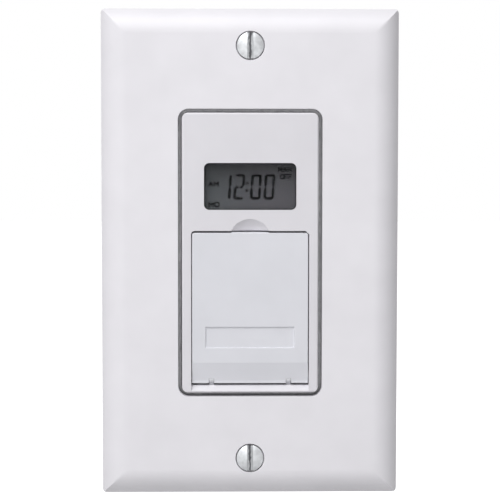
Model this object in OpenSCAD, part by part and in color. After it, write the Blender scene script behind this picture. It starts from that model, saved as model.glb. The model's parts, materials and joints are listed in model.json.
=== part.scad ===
// Programmable timer light switch for a one-gang wall box.
// X runs right, Z runs up and +Y runs into the wall; the wall is the plane Y = 0.
// The origin is midway between the two box screws, on the back of the steel strap.

/* [Wall plate] */
// Width of the wall plate
plate_w = 69.85; // [67:0.05:80]
// Height of the wall plate
plate_h = 114.3; // [112:0.1:124]
// Distance from the wall to the plate's face
plate_depth = 5.6; // [5.4:0.1:6.6]
// Thickness of the plate's shell
plate_wall = 2; // [1.6:0.1:2.2]
// Height of the plate's straight edge above the wall
plate_edge_h = 2.2; // [1.6:0.1:3]
// Width of the curved border
plate_bevel_w = 6; // [4.5:0.1:7]
// Thickness of the plate's edge
plate_rim = 1.8; // [1.4:0.1:2.2]
// Corner radius of the plate's outline
plate_corner_r = 1.1; // [0.5:0.1:2]
// Thickness of the ribs behind the plate
plate_rib_t = 1.2; // [0.8:0.1:1.6]
// Gap between the plate's opening and the bezel
moat = 0.9; // [0.6:0.05:1.2]

/* [Plate screws] */
// Spacing of the plate screws
plate_screw_spacing = 96.84; // [96:0.02:98]
// Radius of the plate screws' shank
plate_screw_r = 1.7; // [1.5:0.05:1.8]
// Length of a plate screw below the plate's face
plate_screw_len = 12.7; // [10:0.1:16]
// Radius of the oval head
oval_r = 3.2; // [2.9:0.05:3.3]
// Height of the oval head's dome
oval_dome = 0.9; // [0.6:0.1:1.2]
// Depth of the head's cone
oval_cone = 1.5; // [1.2:0.1:1.6]
// Width of the driver slot
slot_w = 1.3; // [1:0.1:1.5]
// Depth of the driver slot
slot_d = 1.1; // [0.8:0.1:1.3]

/* [Strap] */
// Thickness of the steel strap
strap_t = 1.25; // [1:0.05:1.4]
// Overall height of the strap
strap_h = 106; // [105:0.5:108]
// Width of the strap's tongues
tongue_w = 22; // [18:0.5:26]
// Width of the ears at the strap's ends
ear_w = 34; // [28:0.5:40]
// Height of those ears
ear_h = 8.5; // [7.5:0.5:9]
// Spacing of the box screws
box_screw_spacing = 83.34; // [82.5:0.02:84]
// Radius of the box screws' shank
box_screw_r = 1.75; // [1.6:0.05:1.8]
// Radius of the box screws' neck within the strap
box_neck_r = 1.4; // [1.2:0.05:1.5]
// Length of the box screws behind the strap
box_screw_len = 24; // [18:1:30]
// Length of a box screw's slot beyond the shank
box_slot_play = 2.6; // [1:0.1:3]
// Radius of the box screws' heads
box_head_r = 3.1; // [2.8:0.05:3.2]
// Height of the box screws' heads
box_head_h = 1.7; // [1.4:0.1:1.8]
// Depth of the earth tab behind the strap
earth_tab_d = 9; // [8:0.5:12]
// Width of the earth tab
earth_tab_w = 9; // [8:0.5:10]
// Distance of the earth tab from the middle of the strap
earth_x = 15; // [14:0.5:16]
// Radius of the earth screw's shank
earth_screw_r = 1.75; // [1.5:0.05:1.9]
// Radius of the earth screw's head
earth_head_r = 3.6; // [3.2:0.1:3.8]

/* [Bezel] */
// Width of the bezel
bezel_w = 32; // [31.5:0.1:34]
// Height of the bezel
bezel_h = 65.7; // [65:0.1:67]
// Corner radius of the bezel
bezel_r = 1.6; // [1:0.1:2.4]
// Rounding of the bezel's front edge
bezel_edge_r = 0.45; // [0.2:0.05:0.7]
// Distance the bezel stands out of the plate
bezel_proud = 0.3; // [0.1:0.1:0.6]
// Thickness of the bezel's neck
neck_wall = 1.5; // [1.2:0.1:1.6]
// Thickness of the bezel's face
face_t = 2.2; // [2:0.1:2.4]
// Fit of the bezel in the strap's window
strap_fit = 0.2; // [0.1:0.05:0.3]

/* [Body] */
// Distance the body stands out beside the bezel
flange_side = 6; // [5.8:0.1:7]
// Distance the body stands out above and below the bezel
flange_end = 3.2; // [3:0.1:3.6]
// Thickness of the flange behind the strap
flange_t = 3; // [2.4:0.1:3.4]
// Depth of the body behind the wall
body_depth = 31; // [31:0.5:40]
// Corner radius of the body
body_r = 3; // [2:0.5:4]
// Thickness of the rear housing's sides
body_wall = 1.8; // [1.5:0.1:2]
// Thickness of the rear housing's back
back_wall = 2; // [1.6:0.1:2.4]
// Radius of the lead holes
lead_hole_r = 1.9; // [1.5:0.1:2.4]
// Pitch of the lead holes
lead_pitch = 10; // [8:0.5:12]
// Width of the bare label recess
label_w = 30; // [20:0.5:34]
// Height of the bare label recess
label_h = 26; // [16:0.5:30]
// Height of the label's middle
label_z = 14; // [8:0.5:16]
// Corner radius of the label recess
label_r = 1.5; // [0.5:0.1:3]
// Depth of the bare label recess
label_d = 0.4; // [0.2:0.1:0.6]
// Radius of the housing screws' shank
case_screw_r = 1.15; // [1:0.05:1.25]
// Length of the housing screws behind the strap
case_screw_len = 14; // [10:0.5:16]
// Radius of the housing screws' heads
case_head_r = 2.3; // [2:0.1:2.4]
// Height of the housing screws' heads
case_head_h = 1.5; // [1.2:0.1:1.7]

/* [Display] */
// Width of the display window
window_w = 21.6; // [20:0.1:23]
// Height of the display window
window_h = 10.95; // [10:0.05:12]
// Height of the window's middle
window_z = 15.63; // [15:0.01:17]
// Corner radius of the window
window_r = 1.25; // [0.6:0.05:2]
// Distance of the lens's front behind the bezel's face
lens_recess = 0.4; // [0.2:0.05:0.6]
// Thickness of the bezel's face over the lens's rim
lens_cover = 1.1; // [0.9:0.05:1.2]
// Width of the lens's rim
lens_rim = 0.9; // [0.6:0.1:1.2]
// Thickness of the lens's rim
lens_t = 1; // [0.8:0.05:1]
// Fit of the lens in its window
lens_fit = 0.08; // [0.05:0.01:0.15]
// Width of the liquid crystal panel
lcd_w = 25.2; // [24.8:0.1:25.6]
// Height of the liquid crystal panel
lcd_h = 14.8; // [14:0.1:15]
// Thickness of the liquid crystal panel
lcd_t = 2.4; // [1.8:0.1:2.6]
// Height of the conductive rubber strips
zebra_h = 2; // [1.6:0.1:2.2]

/* [Door] */
// Width of the door
door_w = 27.24; // [26.6:0.02:27.4]
// Height of the door
door_h = 35.46; // [34.8:0.01:35.8]
// Height of the door's top edge
door_top = 4.78; // [4.6:0.01:5]
// Thickness of the door
door_t = 1.5; // [1.4:0.05:1.6]
// Gap beside the door
door_gap = 0.2; // [0.2:0.02:0.4]
// Gap above the door
door_top_gap = 0.46; // [0.3:0.02:0.5]
// Gap under the door
door_foot_gap = 0.5; // [0.45:0.05:0.6]
// Rounding of the door's front edges
door_edge_r = 0.15; // [0.1:0.05:0.45]
// Height of the sloped foot of the door
foot_h = 4.93; // [4.2:0.01:6]
// Distance that the foot slopes back
foot_drop = 0.85; // [0.7:0.05:0.9]
// Half the width of the lip at the door's top
lip_half = 4.4; // [3:0.1:5]
// Height of that lip
lip_h = 0.18; // [0.1:0.02:0.22]
// Width of the bare panel on the door
blank_w = 20.7; // [16:0.1:24]
// Height of the bare panel
blank_h = 4.75; // [4:0.05:6]
// Distance of the bare panel's middle below the door's top
blank_drop = 24.58; // [16:0.01:25]
// Depth of the bare panel
blank_d = 0.35; // [0.2:0.05:0.5]
// Radius of the finger scoop where it meets the bezel's face
scoop_r = 4.83; // [4:0.1:5]
// Depth of the finger scoop
scoop_d = 1.25; // [0.8:0.05:1.4]
// Distance of the scoop's middle below the opening's top
scoop_drop = 2.08; // [1:0.01:2.5]
// Sill width in front of the hinge
sill_w = 1.3; // [1.2:0.05:1.4]

/* [Hinge] */
// Radius of the door's hinge barrel
barrel_r = 0.95; // [0.9:0.01:1]
// Radius of the hinge pin
pin_r = 0.5; // [0.4:0.01:0.55]
// Running clearance round the hinge pin
pin_play = 0.06; // [0.04:0.01:0.08]
// Distance of the hinge knuckles from the middle
knuckle_x = 9.07; // [8:0.05:10]
// Width of a hinge knuckle
knuckle_w = 1.05; // [0.9:0.05:1.3]
// Gap beside a hinge knuckle
knuckle_gap = 0.1; // [0.08:0.01:0.25]

/* [On off paddle] */
// Distance of the paddle behind the door
paddle_gap = 0.3; // [0.25:0.05:0.4]
// Thickness of the paddle
paddle_t = 1.7; // [1.6:0.05:1.8]
// Width of the paddle's side arms
arm_w = 1.8; // [1.5:0.1:2]
// Height of the paddle's top bar
top_bar_h = 4.6; // [4.4:0.1:4.8]
// Room for the paddle's press
press_room = 0.8; // [0.75:0.05:0.95]
// Gap round the paddle in the door's opening
paddle_side = 0.54; // [0.45:0.01:0.6]
// Thickness of the paddle's foot bar
foot_bar_t = 1; // [0.95:0.05:1.1]
// Height of the paddle's foot bar
foot_bar_h = 3; // [2.8:0.1:3.2]
// Distance of the foot bar's underside below the hinge pin
foot_bar_low = 1.1; // [1:0.05:1.15]
// Radius of the paddle's trunnions
trunnion_r = 0.45; // [0.35:0.01:0.47]
// Running clearance round a trunnion
trunnion_play = 0.06; // [0.04:0.01:0.08]
// Length of a trunnion inside the bezel's side
trunnion_in = 0.8; // [0.5:0.05:0.9]

/* [Keys] */
// Width and height of a key
key_size = 6; // [5:0.1:6.2]
// Pitch of the keys
key_pitch = 7.4; // [7.2:0.05:7.5]
// Corner radius of a key
key_r = 0.9; // [0.4:0.1:1.2]
// Gap round a key
key_gap = 0.2; // [0.15:0.01:0.25]
// Width of a key's stop rim
key_rim = 0.45; // [0.4:0.05:0.5]
// Thickness of a key's stop rim
key_rim_t = 0.8; // [0.6:0.05:1]
// Length of the stem behind a key's stop rim
key_stem = 0.5; // [0.4:0.05:0.6]
// Distance of a key's top behind the closed door
key_room = 0.8; // [0.7:0.05:1]
// Thickness of the key panel
panel_t = 1.5; // [1.2:0.05:1.5]
// Width of a tact switch
tact_w = 6; // [5.6:0.1:6]
// Height of a tact switch's body
tact_h = 3.5; // [3:0.1:3.6]
// Radius of a tact switch's plunger
plunger_r = 1.7; // [1.4:0.05:1.8]
// Length of a plunger above its switch
plunger_up = 1.2; // [1:0.05:1.4]
// Length of a plunger inside its switch
plunger_in = 1.5; // [1:0.05:1.6]
// Gap round a plunger
plunger_gap = 0.2; // [0.15:0.01:0.25]
// Depth of a plunger's well below its resting foot
plunger_well = 0.7; // [0.6:0.05:0.8]
// Distance of the reset button from the middle
reset_x = 9; // [8.6:0.1:9.2]
// Radius of the reset button's pin hole
reset_hole_r = 0.8; // [0.6:0.05:1]

/* [Battery] */
// Diameter of the lithium cell
cell_d = 15.6; // [15:0.1:15.8]
// Length of the lithium cell
cell_len = 27; // [26:0.1:27.2]
// Thickness of the tray's sides
tray_wall = 1.1; // [0.9:0.05:1.2]
// Thickness of the tray's front
tray_front_t = 1.8; // [1.5:0.05:2]
// Distance the tray's front stands out of the key panel
tray_proud = 1; // [0.6:0.1:1.2]
// Fit of the cell in the tray and of the tray in its sleeve
tray_fit = 0.2; // [0.15:0.01:0.25]
// Thickness of the battery sleeve
sleeve_wall = 0.9; // [0.7:0.05:1]
// Thickness of the battery contacts
contact_t = 0.3; // [0.2:0.05:0.4]
// Radius of a contact's dimple
dimple_r = 1.5; // [1.2:0.1:1.8]

/* [Boards] */
// Width of the boards
board_w = 34; // [33.6:0.1:34.4]
// Distance of the boards' tops below the body's top
board_room = 5; // [4.8:0.1:5.6]
// Thickness of the boards
board_t = 1.6; // [1.2:0.1:1.6]
// Height of the power board's back above the rear housing's back
board_back = 3.5; // [3:0.1:4]
// Radius of the board screws' shank
board_screw_r = 0.75; // [0.6:0.05:0.8]
// Radius of the board screws' heads
board_head_r = 1.4; // [1.2:0.1:1.5]
// Height of the board screws' heads
board_head_h = 0.9; // [0.7:0.1:1]
// Radius of the board posts
board_post_r = 1.25; // [1.2:0.05:1.3]

/* [Relay] */
// Width of the relay
relay_w = 19; // [18.6:0.1:19.4]
// Height of the relay
relay_h = 15.5; // [15:0.1:16]
// Depth of the relay in front of its board
relay_d = 14.5; // [14:0.1:14.6]
// Thickness of the relay's cover
relay_wall = 0.8; // [0.6:0.05:1]
// Radius of the relay's coil
coil_r = 4.2; // [3.8:0.1:4.4]
// Open gap between armature and core
relay_gap = 0.6; // [0.55:0.05:0.7]
// Thickness of the yoke and the armature
yoke_t = 1.2; // [1:0.1:1.3]

/* [Hidden] */
$fn = 64;
// cut runs past a face that is cut away, lap joins pieces of one solid
cut = 1;
lap = 0.1;
// small plays and gaps
screw_play = 0.3;
thread_play = 0.05;
oval_play = 0.12;
seat_gap = 0.1;
stop_gap = 0.05;
slide_gap = 0.25;
lens_play = 0.1;
pin_fit = 0.02;
board_gap = 0.4;
// outline sizes
opening_w = bezel_w + 2 * moat;
opening_h = bezel_h + 2 * moat;
body_w = bezel_w + 2 * flange_side;
body_h = bezel_h + 2 * flange_end;
half_plate_screw = plate_screw_spacing / 2;
half_box_screw = box_screw_spacing / 2;
// levels along Y
y_plate = -plate_depth;
y_plate_in = y_plate + plate_wall;
y_face = y_plate - bezel_proud;
y_face_in = y_face + face_t;
y_lens = y_face + lens_cover;
y_lcd = y_lens + lens_t + lap;
y_zebra = y_lcd + lcd_t;
y_door_in = y_face + door_t;
y_paddle = y_door_in + paddle_gap;
y_paddle_in = y_paddle + paddle_t;
y_panel = y_paddle_in + press_room;
y_panel_in = y_panel + panel_t;
y_pin = y_face + foot_drop + barrel_r;
y_foot_bar = y_pin + barrel_r + slide_gap;
y_trunnion = y_foot_bar + foot_bar_t / 2;
y_key = y_door_in + key_room;
y_key_rim = y_panel_in + stop_gap;
y_plunger = y_key_rim + key_rim_t + key_stem;
y_tact = y_plunger + plunger_up;
y_logic = y_tact + tact_h;
y_logic_in = y_logic + board_t;
y_back_in = body_depth - back_wall;
y_power_in = y_back_in - board_back;
y_power = y_power_in - board_t;
y_relay = y_power - relay_d;
// places along Z
door_foot = door_top - door_h;
z_crease = door_foot + foot_h;
z_pin = door_foot + barrel_r;
recess_top = door_top + door_top_gap;
recess_foot = door_foot - door_foot_gap;
recess_half = door_w / 2 + door_gap;
neck_half_w = bezel_w / 2 - neck_wall;
neck_half_h = bezel_h / 2 - neck_wall;
paddle_half = recess_half - paddle_side;
paddle_top = recess_top - paddle_side;
top_bar_z = paddle_top - top_bar_h / 2;
foot_bar_z = z_pin - foot_bar_low;
tray_half = cell_d / 2 + tray_fit + tray_wall;
tray_foot = foot_bar_z + foot_bar_h + 2 * slide_gap;
tray_floor = tray_foot + tray_wall;
cell_z = tray_floor + tray_fit + cell_d / 2;
tray_top = cell_z + cell_d / 2 + tray_fit;
sleeve_half = tray_half + tray_fit + sleeve_wall;
sleeve_top = tray_top + tray_fit + sleeve_wall;
sleeve_foot = tray_foot - tray_fit - sleeve_wall;
board_foot = sleeve_top + board_gap;
key_z = board_foot + tact_w / 2 + board_gap;
board_top = body_h / 2 - board_room;
// lengthwise places of the cell in its tray
y_tray = y_panel - tray_proud;
y_cell = y_tray + tray_front_t + tray_fit;
y_cell_in = y_cell + cell_len;
y_tray_back = y_cell_in + tray_fit;
y_tray_in = y_tray_back + tray_wall;
y_sleeve_end = y_back_in - sleeve_wall;
// fixings
case_boss_wall = 0.75;
case_boss_r = case_screw_r + case_boss_wall;
case_inset = 0.6;
case_x = body_w / 2 - body_wall - case_inset;
case_z = body_h / 2 - body_r;
post_side = 0.15;
post_end = 0.6;
post_x = board_w / 2 - board_post_r - post_side;
post_low = board_foot + board_post_r + post_end;
post_high = board_top - board_post_r - post_end;
strap_over = 4;
strap_r = 2;
earth_z = -body_h / 2 - strap_over;
earth_foot = earth_z - strap_t / 2;
lead_x = (sleeve_half + body_w / 2 - body_wall) / 2;
rib_pitch = 34;
peg_x = 11.4;
peg_half = 0.7;
pad_x = 4;
pad_half = 1.5;
pad_rise = 0.6;
peg_len = 1;
knuckle_foot = 0.44;
zebra_edge = 0.5;
zebra_end = 1.1;
zebra_z = lcd_h / 2 - zebra_h / 2 - zebra_edge;
zebra_half = lcd_w / 2 - zebra_end;
cell_button_h = 0.8;
contact_in = 12;
contact_y = y_cell + contact_in;
contact_half = 5;
contact_z = 3;
// relay places
relay_x = -4.5;
relay_drop = 4;
relay_z = board_top - relay_h / 2 - relay_drop;
relay_base_t = 1.5;
relay_left = relay_x - relay_w / 2 + relay_wall;
y_relay_base = y_power - relay_base_t;
armature_room = 1;
y_armature = y_relay + relay_wall + armature_room;
y_armature_in = y_armature + yoke_t;
y_core = y_armature_in + relay_gap;
y_pivot = y_armature + yoke_t / 2;
core_r = 2;
yoke_half = 4;
yoke_gap = 0.6;
yoke_x = relay_x + coil_r + yoke_gap;
pivot_x = yoke_x + yoke_t / 2;
pivot_r = 0.25;
armature_step = 0.6;
armature_half = yoke_half - armature_step;
leaf_t = 0.4;
leaf_half = 1.5;
leaf_in = 1.2;
leaf_x = relay_left + leaf_in;
contact_gap = 0.85;
// sizes of the parts on the boards
header_spacing = 2.54;
header_h = 2.5;
header_pin_half = 0.3;
header_x = 1;
header_rise = 4.5;
header_z = board_foot + header_rise;
chip_w = 9;
chip_t = 1.4;
chip_in = 9.5;
chip_rise = 8;
crystal_w = 10;
crystal_r = 2;
crystal_d = 3;
crystal_in = 10;
film_w = 10;
film_d = 11;
film_h = 6;
film_gap = 1;
film_drop = 8;
film_x = relay_x + relay_w / 2 + film_gap + film_w / 2;
can_r = 4;
can_len = 11.5;
can_in = 5.5;
can_drop = 16;
disc_r = 5;
disc_t = 4;
disc_in = 5;
disc_rise = 12;
bridge_w = 6;
bridge_d = 3;
bridge_x = -2;
bridge_rise = 14;
lug_w = 3;
lug_len = 2.2;
lug_t = 0.8;
lug_in = 9;
lug_rise = 8;

// Draws a flat shape in X and Z as a slab between two levels along Y.
module slab(y0, y1) {
    translate([0, y1, 0]) rotate([90, 0, 0]) linear_extrude(y1 - y0) children();
}

// Draws a flat shape in Y and Z as a bar between two places along X.
module bar_x(x0, x1) {
    translate([x0, 0, 0]) rotate([90, 0, 90]) linear_extrude(x1 - x0) children();
}

// Draws a flat shape in X and Y as a bar between two heights.
module bar_z(z0, z1) {
    translate([0, 0, z0]) linear_extrude(z1 - z0) children();
}

// Draws a round rod along Y.
module rod(r, y0, y1, x = 0, z = 0) {
    translate([x, y1, z]) rotate([90, 0, 0]) cylinder(h = y1 - y0, r = r);
}

// Draws a round rod along X.
module rod_x(r, x0, x1, y, z) {
    translate([x0, y, z]) rotate([0, 90, 0]) cylinder(h = x1 - x0, r = r);
}

// Draws a box between two corners.
module box(x0, x1, y0, y1, z0, z1) {
    translate([x0, y0, z0]) cube([x1 - x0, y1 - y0, z1 - z0]);
}

// Draws a flat rectangle with round corners.
module round_rect(w, h, r) {
    square([w - 2 * r, h], center = true);
    square([w, h - 2 * r], center = true);
    for (x = [-1, 1], y = [-1, 1]) translate([x * (w / 2 - r), y * (h / 2 - r)]) circle(r);
}

// Draws a flat slot along X with round ends.
module slot_shape(w, r) {
    square([w - 2 * r, 2 * r], center = true);
    for (s = [-1, 1]) translate([s * (w / 2 - r), 0]) circle(r);
}

// Draws a flat bar across X whose two front corners are round.
module front_rounded(half, y0, y1, r) {
    translate([-half, y0 + r]) square([2 * half, y1 - y0 - r]);
    translate([r - half, y0]) square([2 * (half - r), r + lap]);
    for (s = [-1, 1]) translate([s * (half - r), y0 + r]) circle(r);
}

// Draws the section of the wall plate: flat face, curved border, straight edge.
module plate_section(half, inset_y, inset_x) {
    drop = plate_depth - plate_edge_h;
    r = (plate_bevel_w * plate_bevel_w + drop * drop) / (2 * drop);
    flat = half - plate_bevel_w;
    translate([-flat, y_plate + inset_y]) square([2 * flat, plate_depth - inset_y + cut]);
    for (s = [-1, 1]) intersection() {
        translate([s * flat, y_plate + r]) circle(r - inset_y, $fn = 160);
        translate([s > 0 ? flat : inset_x - half, y_plate])
            square([plate_bevel_w - inset_x, plate_depth + cut]);
    }
    if (inset_y == 0)
        translate([-half, -plate_edge_h]) square([2 * half, plate_edge_h + cut]);
}

// Draws the slab that the plate's section makes both ways across the plate.
module plate_form(inset_y, inset_x) {
    intersection() {
        bar_z(-plate_h / 2 - cut, plate_h / 2 + cut) plate_section(plate_w / 2, inset_y, inset_x);
        bar_x(-plate_w / 2 - cut, plate_w / 2 + cut)
            mirror([1, -1, 0]) plate_section(plate_h / 2, inset_y, inset_x);
    }
}

// Wall plate with its opening, ribs and countersunk screw holes.
module wall_plate() {
    boss_y = -strap_t - seat_gap;
    hole_r = plate_screw_r + screw_play;
    seat_r = oval_r + oval_play;
    boss_wall = 1.1;
    rib_room = 2;
    rib_in = body_w / 2 + rib_room;
    rib_out = plate_w / 2 - lap;
    color("WhiteSmoke") difference() {
        union() {
            difference() {
                intersection() {
                    plate_form(0, 0);
                    slab(y_plate - cut, 0) round_rect(plate_w, plate_h, plate_corner_r);
                }
                plate_form(plate_wall, plate_rim);
            }
            for (s = [-1, 1])
                rod(hole_r + boss_wall, y_plate_in - lap, boss_y, 0, s * half_plate_screw);
            intersection() {
                plate_form(lap, lap);
                for (s = [-1, 1], i = [-1, 0, 1]) translate([0, 0, i * rib_pitch])
                    box(s > 0 ? rib_in : -rib_out, s > 0 ? rib_out : -rib_in,
                        y_plate_in - lap, -seat_gap, -plate_rib_t / 2, plate_rib_t / 2);
            }
        }
        slab(y_plate - cut, cut) round_rect(opening_w, opening_h, bezel_r + moat);
        slab(-strap_t - seat_gap / 2, cut)
            square([ear_w + 2 * strap_fit, strap_h + 2 * strap_fit], center = true);
        for (s = [-1, 1]) {
            rod(hole_r, y_plate - cut, cut, 0, s * half_plate_screw);
            translate([0, y_plate + oval_cone, s * half_plate_screw]) rotate([90, 0, 0])
                cylinder(h = oval_cone, r1 = hole_r, r2 = seat_r);
            rod(seat_r, y_plate - cut, y_plate, 0, s * half_plate_screw);
        }
    }
}

// Two slotted oval-head screws that hold the wall plate to the strap.
module plate_screws() {
    ball_r = (oval_r * oval_r + oval_dome * oval_dome) / (2 * oval_dome);
    tip = y_plate + plate_screw_len;
    color("Silver") for (s = [-1, 1]) translate([0, 0, s * half_plate_screw]) difference() {
        union() {
            rod(plate_screw_r, y_plate + oval_cone - lap, tip);
            translate([0, y_plate + oval_cone, 0]) rotate([90, 0, 0])
                cylinder(h = oval_cone, r1 = plate_screw_r, r2 = oval_r);
            intersection() {
                translate([0, y_plate - oval_dome + ball_r, 0]) sphere(ball_r);
                rod(oval_r, y_plate - oval_dome - cut, y_plate);
            }
        }
        box(-slot_w / 2, slot_w / 2, y_plate - oval_dome - cut, y_plate - oval_dome + slot_d,
            -oval_r - cut, oval_r + cut);
    }
}

// Steel strap that carries the switch on the wall box, with its earth tab.
module mounting_strap() {
    window_grow = 2 * strap_fit;
    color("DarkGray") difference() {
        union() {
            slab(-strap_t, 0) {
                round_rect(body_w, body_h + 2 * strap_over, strap_r);
                square([tongue_w, strap_h - strap_r], center = true);
                for (s = [-1, 1])
                    translate([0, s * (strap_h - ear_h) / 2]) round_rect(ear_w, ear_h, strap_r);
            }
            box(earth_x - earth_tab_w / 2, earth_x + earth_tab_w / 2, -strap_t, earth_tab_d,
                earth_foot, earth_foot + strap_t);
        }
        slab(-strap_t - cut, cut)
            round_rect(bezel_w + window_grow, bezel_h + window_grow, bezel_r + strap_fit);
        for (s = [-1, 1]) {
            rod(plate_screw_r + thread_play, -strap_t - cut, cut, 0, s * half_plate_screw);
            slab(-strap_t - cut, cut) translate([0, s * half_box_screw])
                slot_shape(2 * box_screw_r + box_slot_play, box_screw_r + screw_play);
        }
        for (x = [-1, 1], z = [-1, 1])
            rod(case_screw_r + screw_play, -strap_t - cut, cut, x * case_x, z * case_z);
        translate([earth_x, earth_tab_d / 2, earth_foot - cut])
            cylinder(h = strap_t + 2 * cut, r = earth_screw_r + thread_play);
    }
}

// Two screws that hold the strap to the wall box.
module box_screws() {
    color("Silver") for (s = [-1, 1]) translate([0, 0, s * half_box_screw]) difference() {
        union() {
            rod(box_neck_r, -strap_t - lap, lap);
            rod(box_screw_r, 0, box_screw_len);
            rod(box_head_r, -strap_t - box_head_h, -strap_t);
        }
        box(-slot_w / 2, slot_w / 2, -strap_t - box_head_h - cut, -strap_t - box_head_h / 2,
            -box_head_r - cut, box_head_r + cut);
    }
}

// Green screw on the strap's tab for the earth lead.
module earth_screw() {
    washer_h = 0.8;
    hex_h = 1.8;
    tip_h = 1.8;
    color("ForestGreen") translate([earth_x, earth_tab_d / 2, earth_foot]) difference() {
        union() {
            translate([0, 0, -lap]) cylinder(h = strap_t + tip_h, r = earth_screw_r);
            translate([0, 0, -washer_h]) cylinder(h = washer_h, r = earth_head_r);
            translate([0, 0, -washer_h - hex_h])
                cylinder(h = hex_h + lap, r = earth_head_r - screw_play, $fn = 6);
        }
        box(-earth_head_r, earth_head_r, -slot_w / 2, slot_w / 2, -washer_h - hex_h - cut,
            -washer_h - hex_h / 2);
    }
}

// Holes of the key panel: keys, paddle boss, reset pin and battery tray.
module panel_cuts() {
    hole = key_size + 2 * key_gap;
    for (x = [-1, 0, 1])
        slab(y_panel - cut, y_panel_in + cut) translate([x * key_pitch, key_z])
            round_rect(hole, hole, key_r + key_gap);
    rod(plunger_r + screw_play, y_panel - cut, y_panel_in + cut, 0, top_bar_z);
    rod(reset_hole_r, y_panel - cut, y_panel_in + cut, reset_x, top_bar_z);
    box(-tray_half - tray_fit, tray_half + tray_fit, y_panel - cut, y_panel_in + cut,
        tray_foot - tray_fit, tray_top + tray_fit);
}

// Front housing: bezel, neck, key panel, flange and board posts.
module front_housing() {
    ball_r = (scoop_r * scoop_r + scoop_d * scoop_d) / (2 * scoop_d);
    scoop_y = y_face + scoop_d - ball_r;
    wall_in = recess_top + neck_wall;
    seat = 2 * lens_rim + 2 * lens_play;
    color("White") difference() {
        union() {
            intersection() {
                slab(y_face, lap) round_rect(bezel_w, bezel_h, bezel_r);
                bar_z(-bezel_h, bezel_h) front_rounded(bezel_w / 2, y_face, cut, bezel_edge_r);
                bar_x(-bezel_w, bezel_w) mirror([1, -1, 0])
                    front_rounded(bezel_h / 2, y_face, cut, bezel_edge_r);
            }
            slab(0, flange_t) round_rect(body_w, body_h, body_r);
            for (x = [-1, 1], z = [post_low, post_high])
                rod(board_post_r, flange_t - lap, y_logic, x * post_x, z);
        }
        box(-recess_half, recess_half, y_face - cut, y_panel, recess_foot, recess_top);
        bar_x(-recess_half, recess_half) polygon([[y_face - cut, recess_foot + cut],
            [y_face + sill_w, recess_foot + cut], [y_face + sill_w, recess_foot],
            [y_face, recess_foot - sill_w], [y_face - cut, recess_foot - sill_w]]);
        translate([0, scoop_y, recess_top - scoop_drop]) sphere(ball_r, $fn = 128);
        panel_cuts();
        box(-neck_half_w, neck_half_w, y_face_in, flange_t + cut, wall_in, neck_half_h);
        box(-neck_half_w, neck_half_w, y_panel_in, flange_t + cut, -neck_half_h, neck_half_h);
        slab(y_face - cut, y_face_in + cut) translate([0, window_z])
            round_rect(window_w, window_h, window_r);
        slab(y_lens, y_face_in + cut) translate([0, window_z])
            round_rect(window_w + seat, window_h + seat, window_r);
        rod_x(trunnion_r + trunnion_play, -recess_half - trunnion_in - seat_gap,
            recess_half + trunnion_in + seat_gap, y_trunnion, z_pin);
        rod_x(pin_r + seat_gap, 0, bezel_w, y_pin, z_pin);
        for (x = [-1, 1], z = [-1, 1])
            rod(case_screw_r + screw_play, -cut, flange_t + cut, x * case_x, z * case_z);
        for (x = [-1, 1], z = [post_low, post_high])
            rod(board_screw_r + thread_play, flange_t, y_logic + cut, x * post_x, z);
    }
}

// Clear lens that fills the display window from behind.
module display_lens() {
    color("LightCyan", 0.4) translate([0, 0, window_z]) {
        slab(y_lens, y_lens + lens_t)
            round_rect(window_w + 2 * lens_rim, window_h + 2 * lens_rim, window_r);
        slab(y_face + lens_recess, y_lens + lap) round_rect(window_w - 2 * lens_fit,
            window_h - 2 * lens_fit, window_r - lens_fit);
    }
}

// Liquid crystal panel: front glass, with a back glass that is shorter.
module lcd_panel() {
    color("DimGray") {
        box(-lcd_w / 2, lcd_w / 2, y_lcd, y_lcd + lcd_t / 2,
            window_z - lcd_h / 2, window_z + lcd_h / 2);
        box(-lcd_w / 2, lcd_w / 2, y_lcd + lcd_t / 2 - lap, y_zebra,
            window_z - lcd_h / 2 + screw_play, window_z + lcd_h / 2 - screw_play);
    }
}

// Frame that presses the panel to the bezel and guides the rubber strips.
module lcd_holder() {
    wall_x = 1;
    wall_z = 0.7;
    slot_half = zebra_half + lens_play;
    slot_z = zebra_h / 2 + lens_play;
    color("Gainsboro") translate([0, 0, window_z]) difference() {
        box(-lcd_w / 2 - wall_x, lcd_w / 2 + wall_x, y_face_in + seat_gap, y_logic,
            -lcd_h / 2 - wall_z, lcd_h / 2 + wall_z);
        box(-lcd_w / 2 - lens_play, lcd_w / 2 + lens_play, y_face_in - cut, y_zebra,
            -lcd_h / 2 - lens_play, lcd_h / 2 + lens_play);
        for (s = [-1, 1]) box(-slot_half, slot_half, y_zebra - cut, y_logic + cut,
            s * zebra_z - slot_z, s * zebra_z + slot_z);
        box(zebra_h - slot_half, slot_half - zebra_h, y_zebra + wall_x, y_logic + cut,
            zebra_h - zebra_z, zebra_z - zebra_h);
    }
}

// Two conductive rubber strips between the panel and the logic board.
module zebra_strips() {
    color("SlateGray") for (s = [-1, 1]) translate([0, 0, window_z + s * zebra_z])
        box(-zebra_half, zebra_half, y_zebra, y_logic, -zebra_h / 2, zebra_h / 2);
}

// Side view of the door: flat face, sloped foot and hinge barrel.
module door_side() {
    away = [y_face - y_pin, z_crease - z_pin];
    turn = atan2(away[1], away[0]) + acos(barrel_r / norm(away));
    touch = [y_pin + barrel_r * cos(turn), z_pin + barrel_r * sin(turn)];
    polygon([[y_face, z_crease], [y_face, door_top - door_edge_r],
        [y_face + door_edge_r, door_top], [y_door_in, door_top], [y_door_in, z_pin],
        [y_pin, z_pin], touch]);
    translate([y_face + door_edge_r, door_top - door_edge_r]) circle(door_edge_r);
    translate([y_pin, z_pin]) circle(barrel_r);
}

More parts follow.
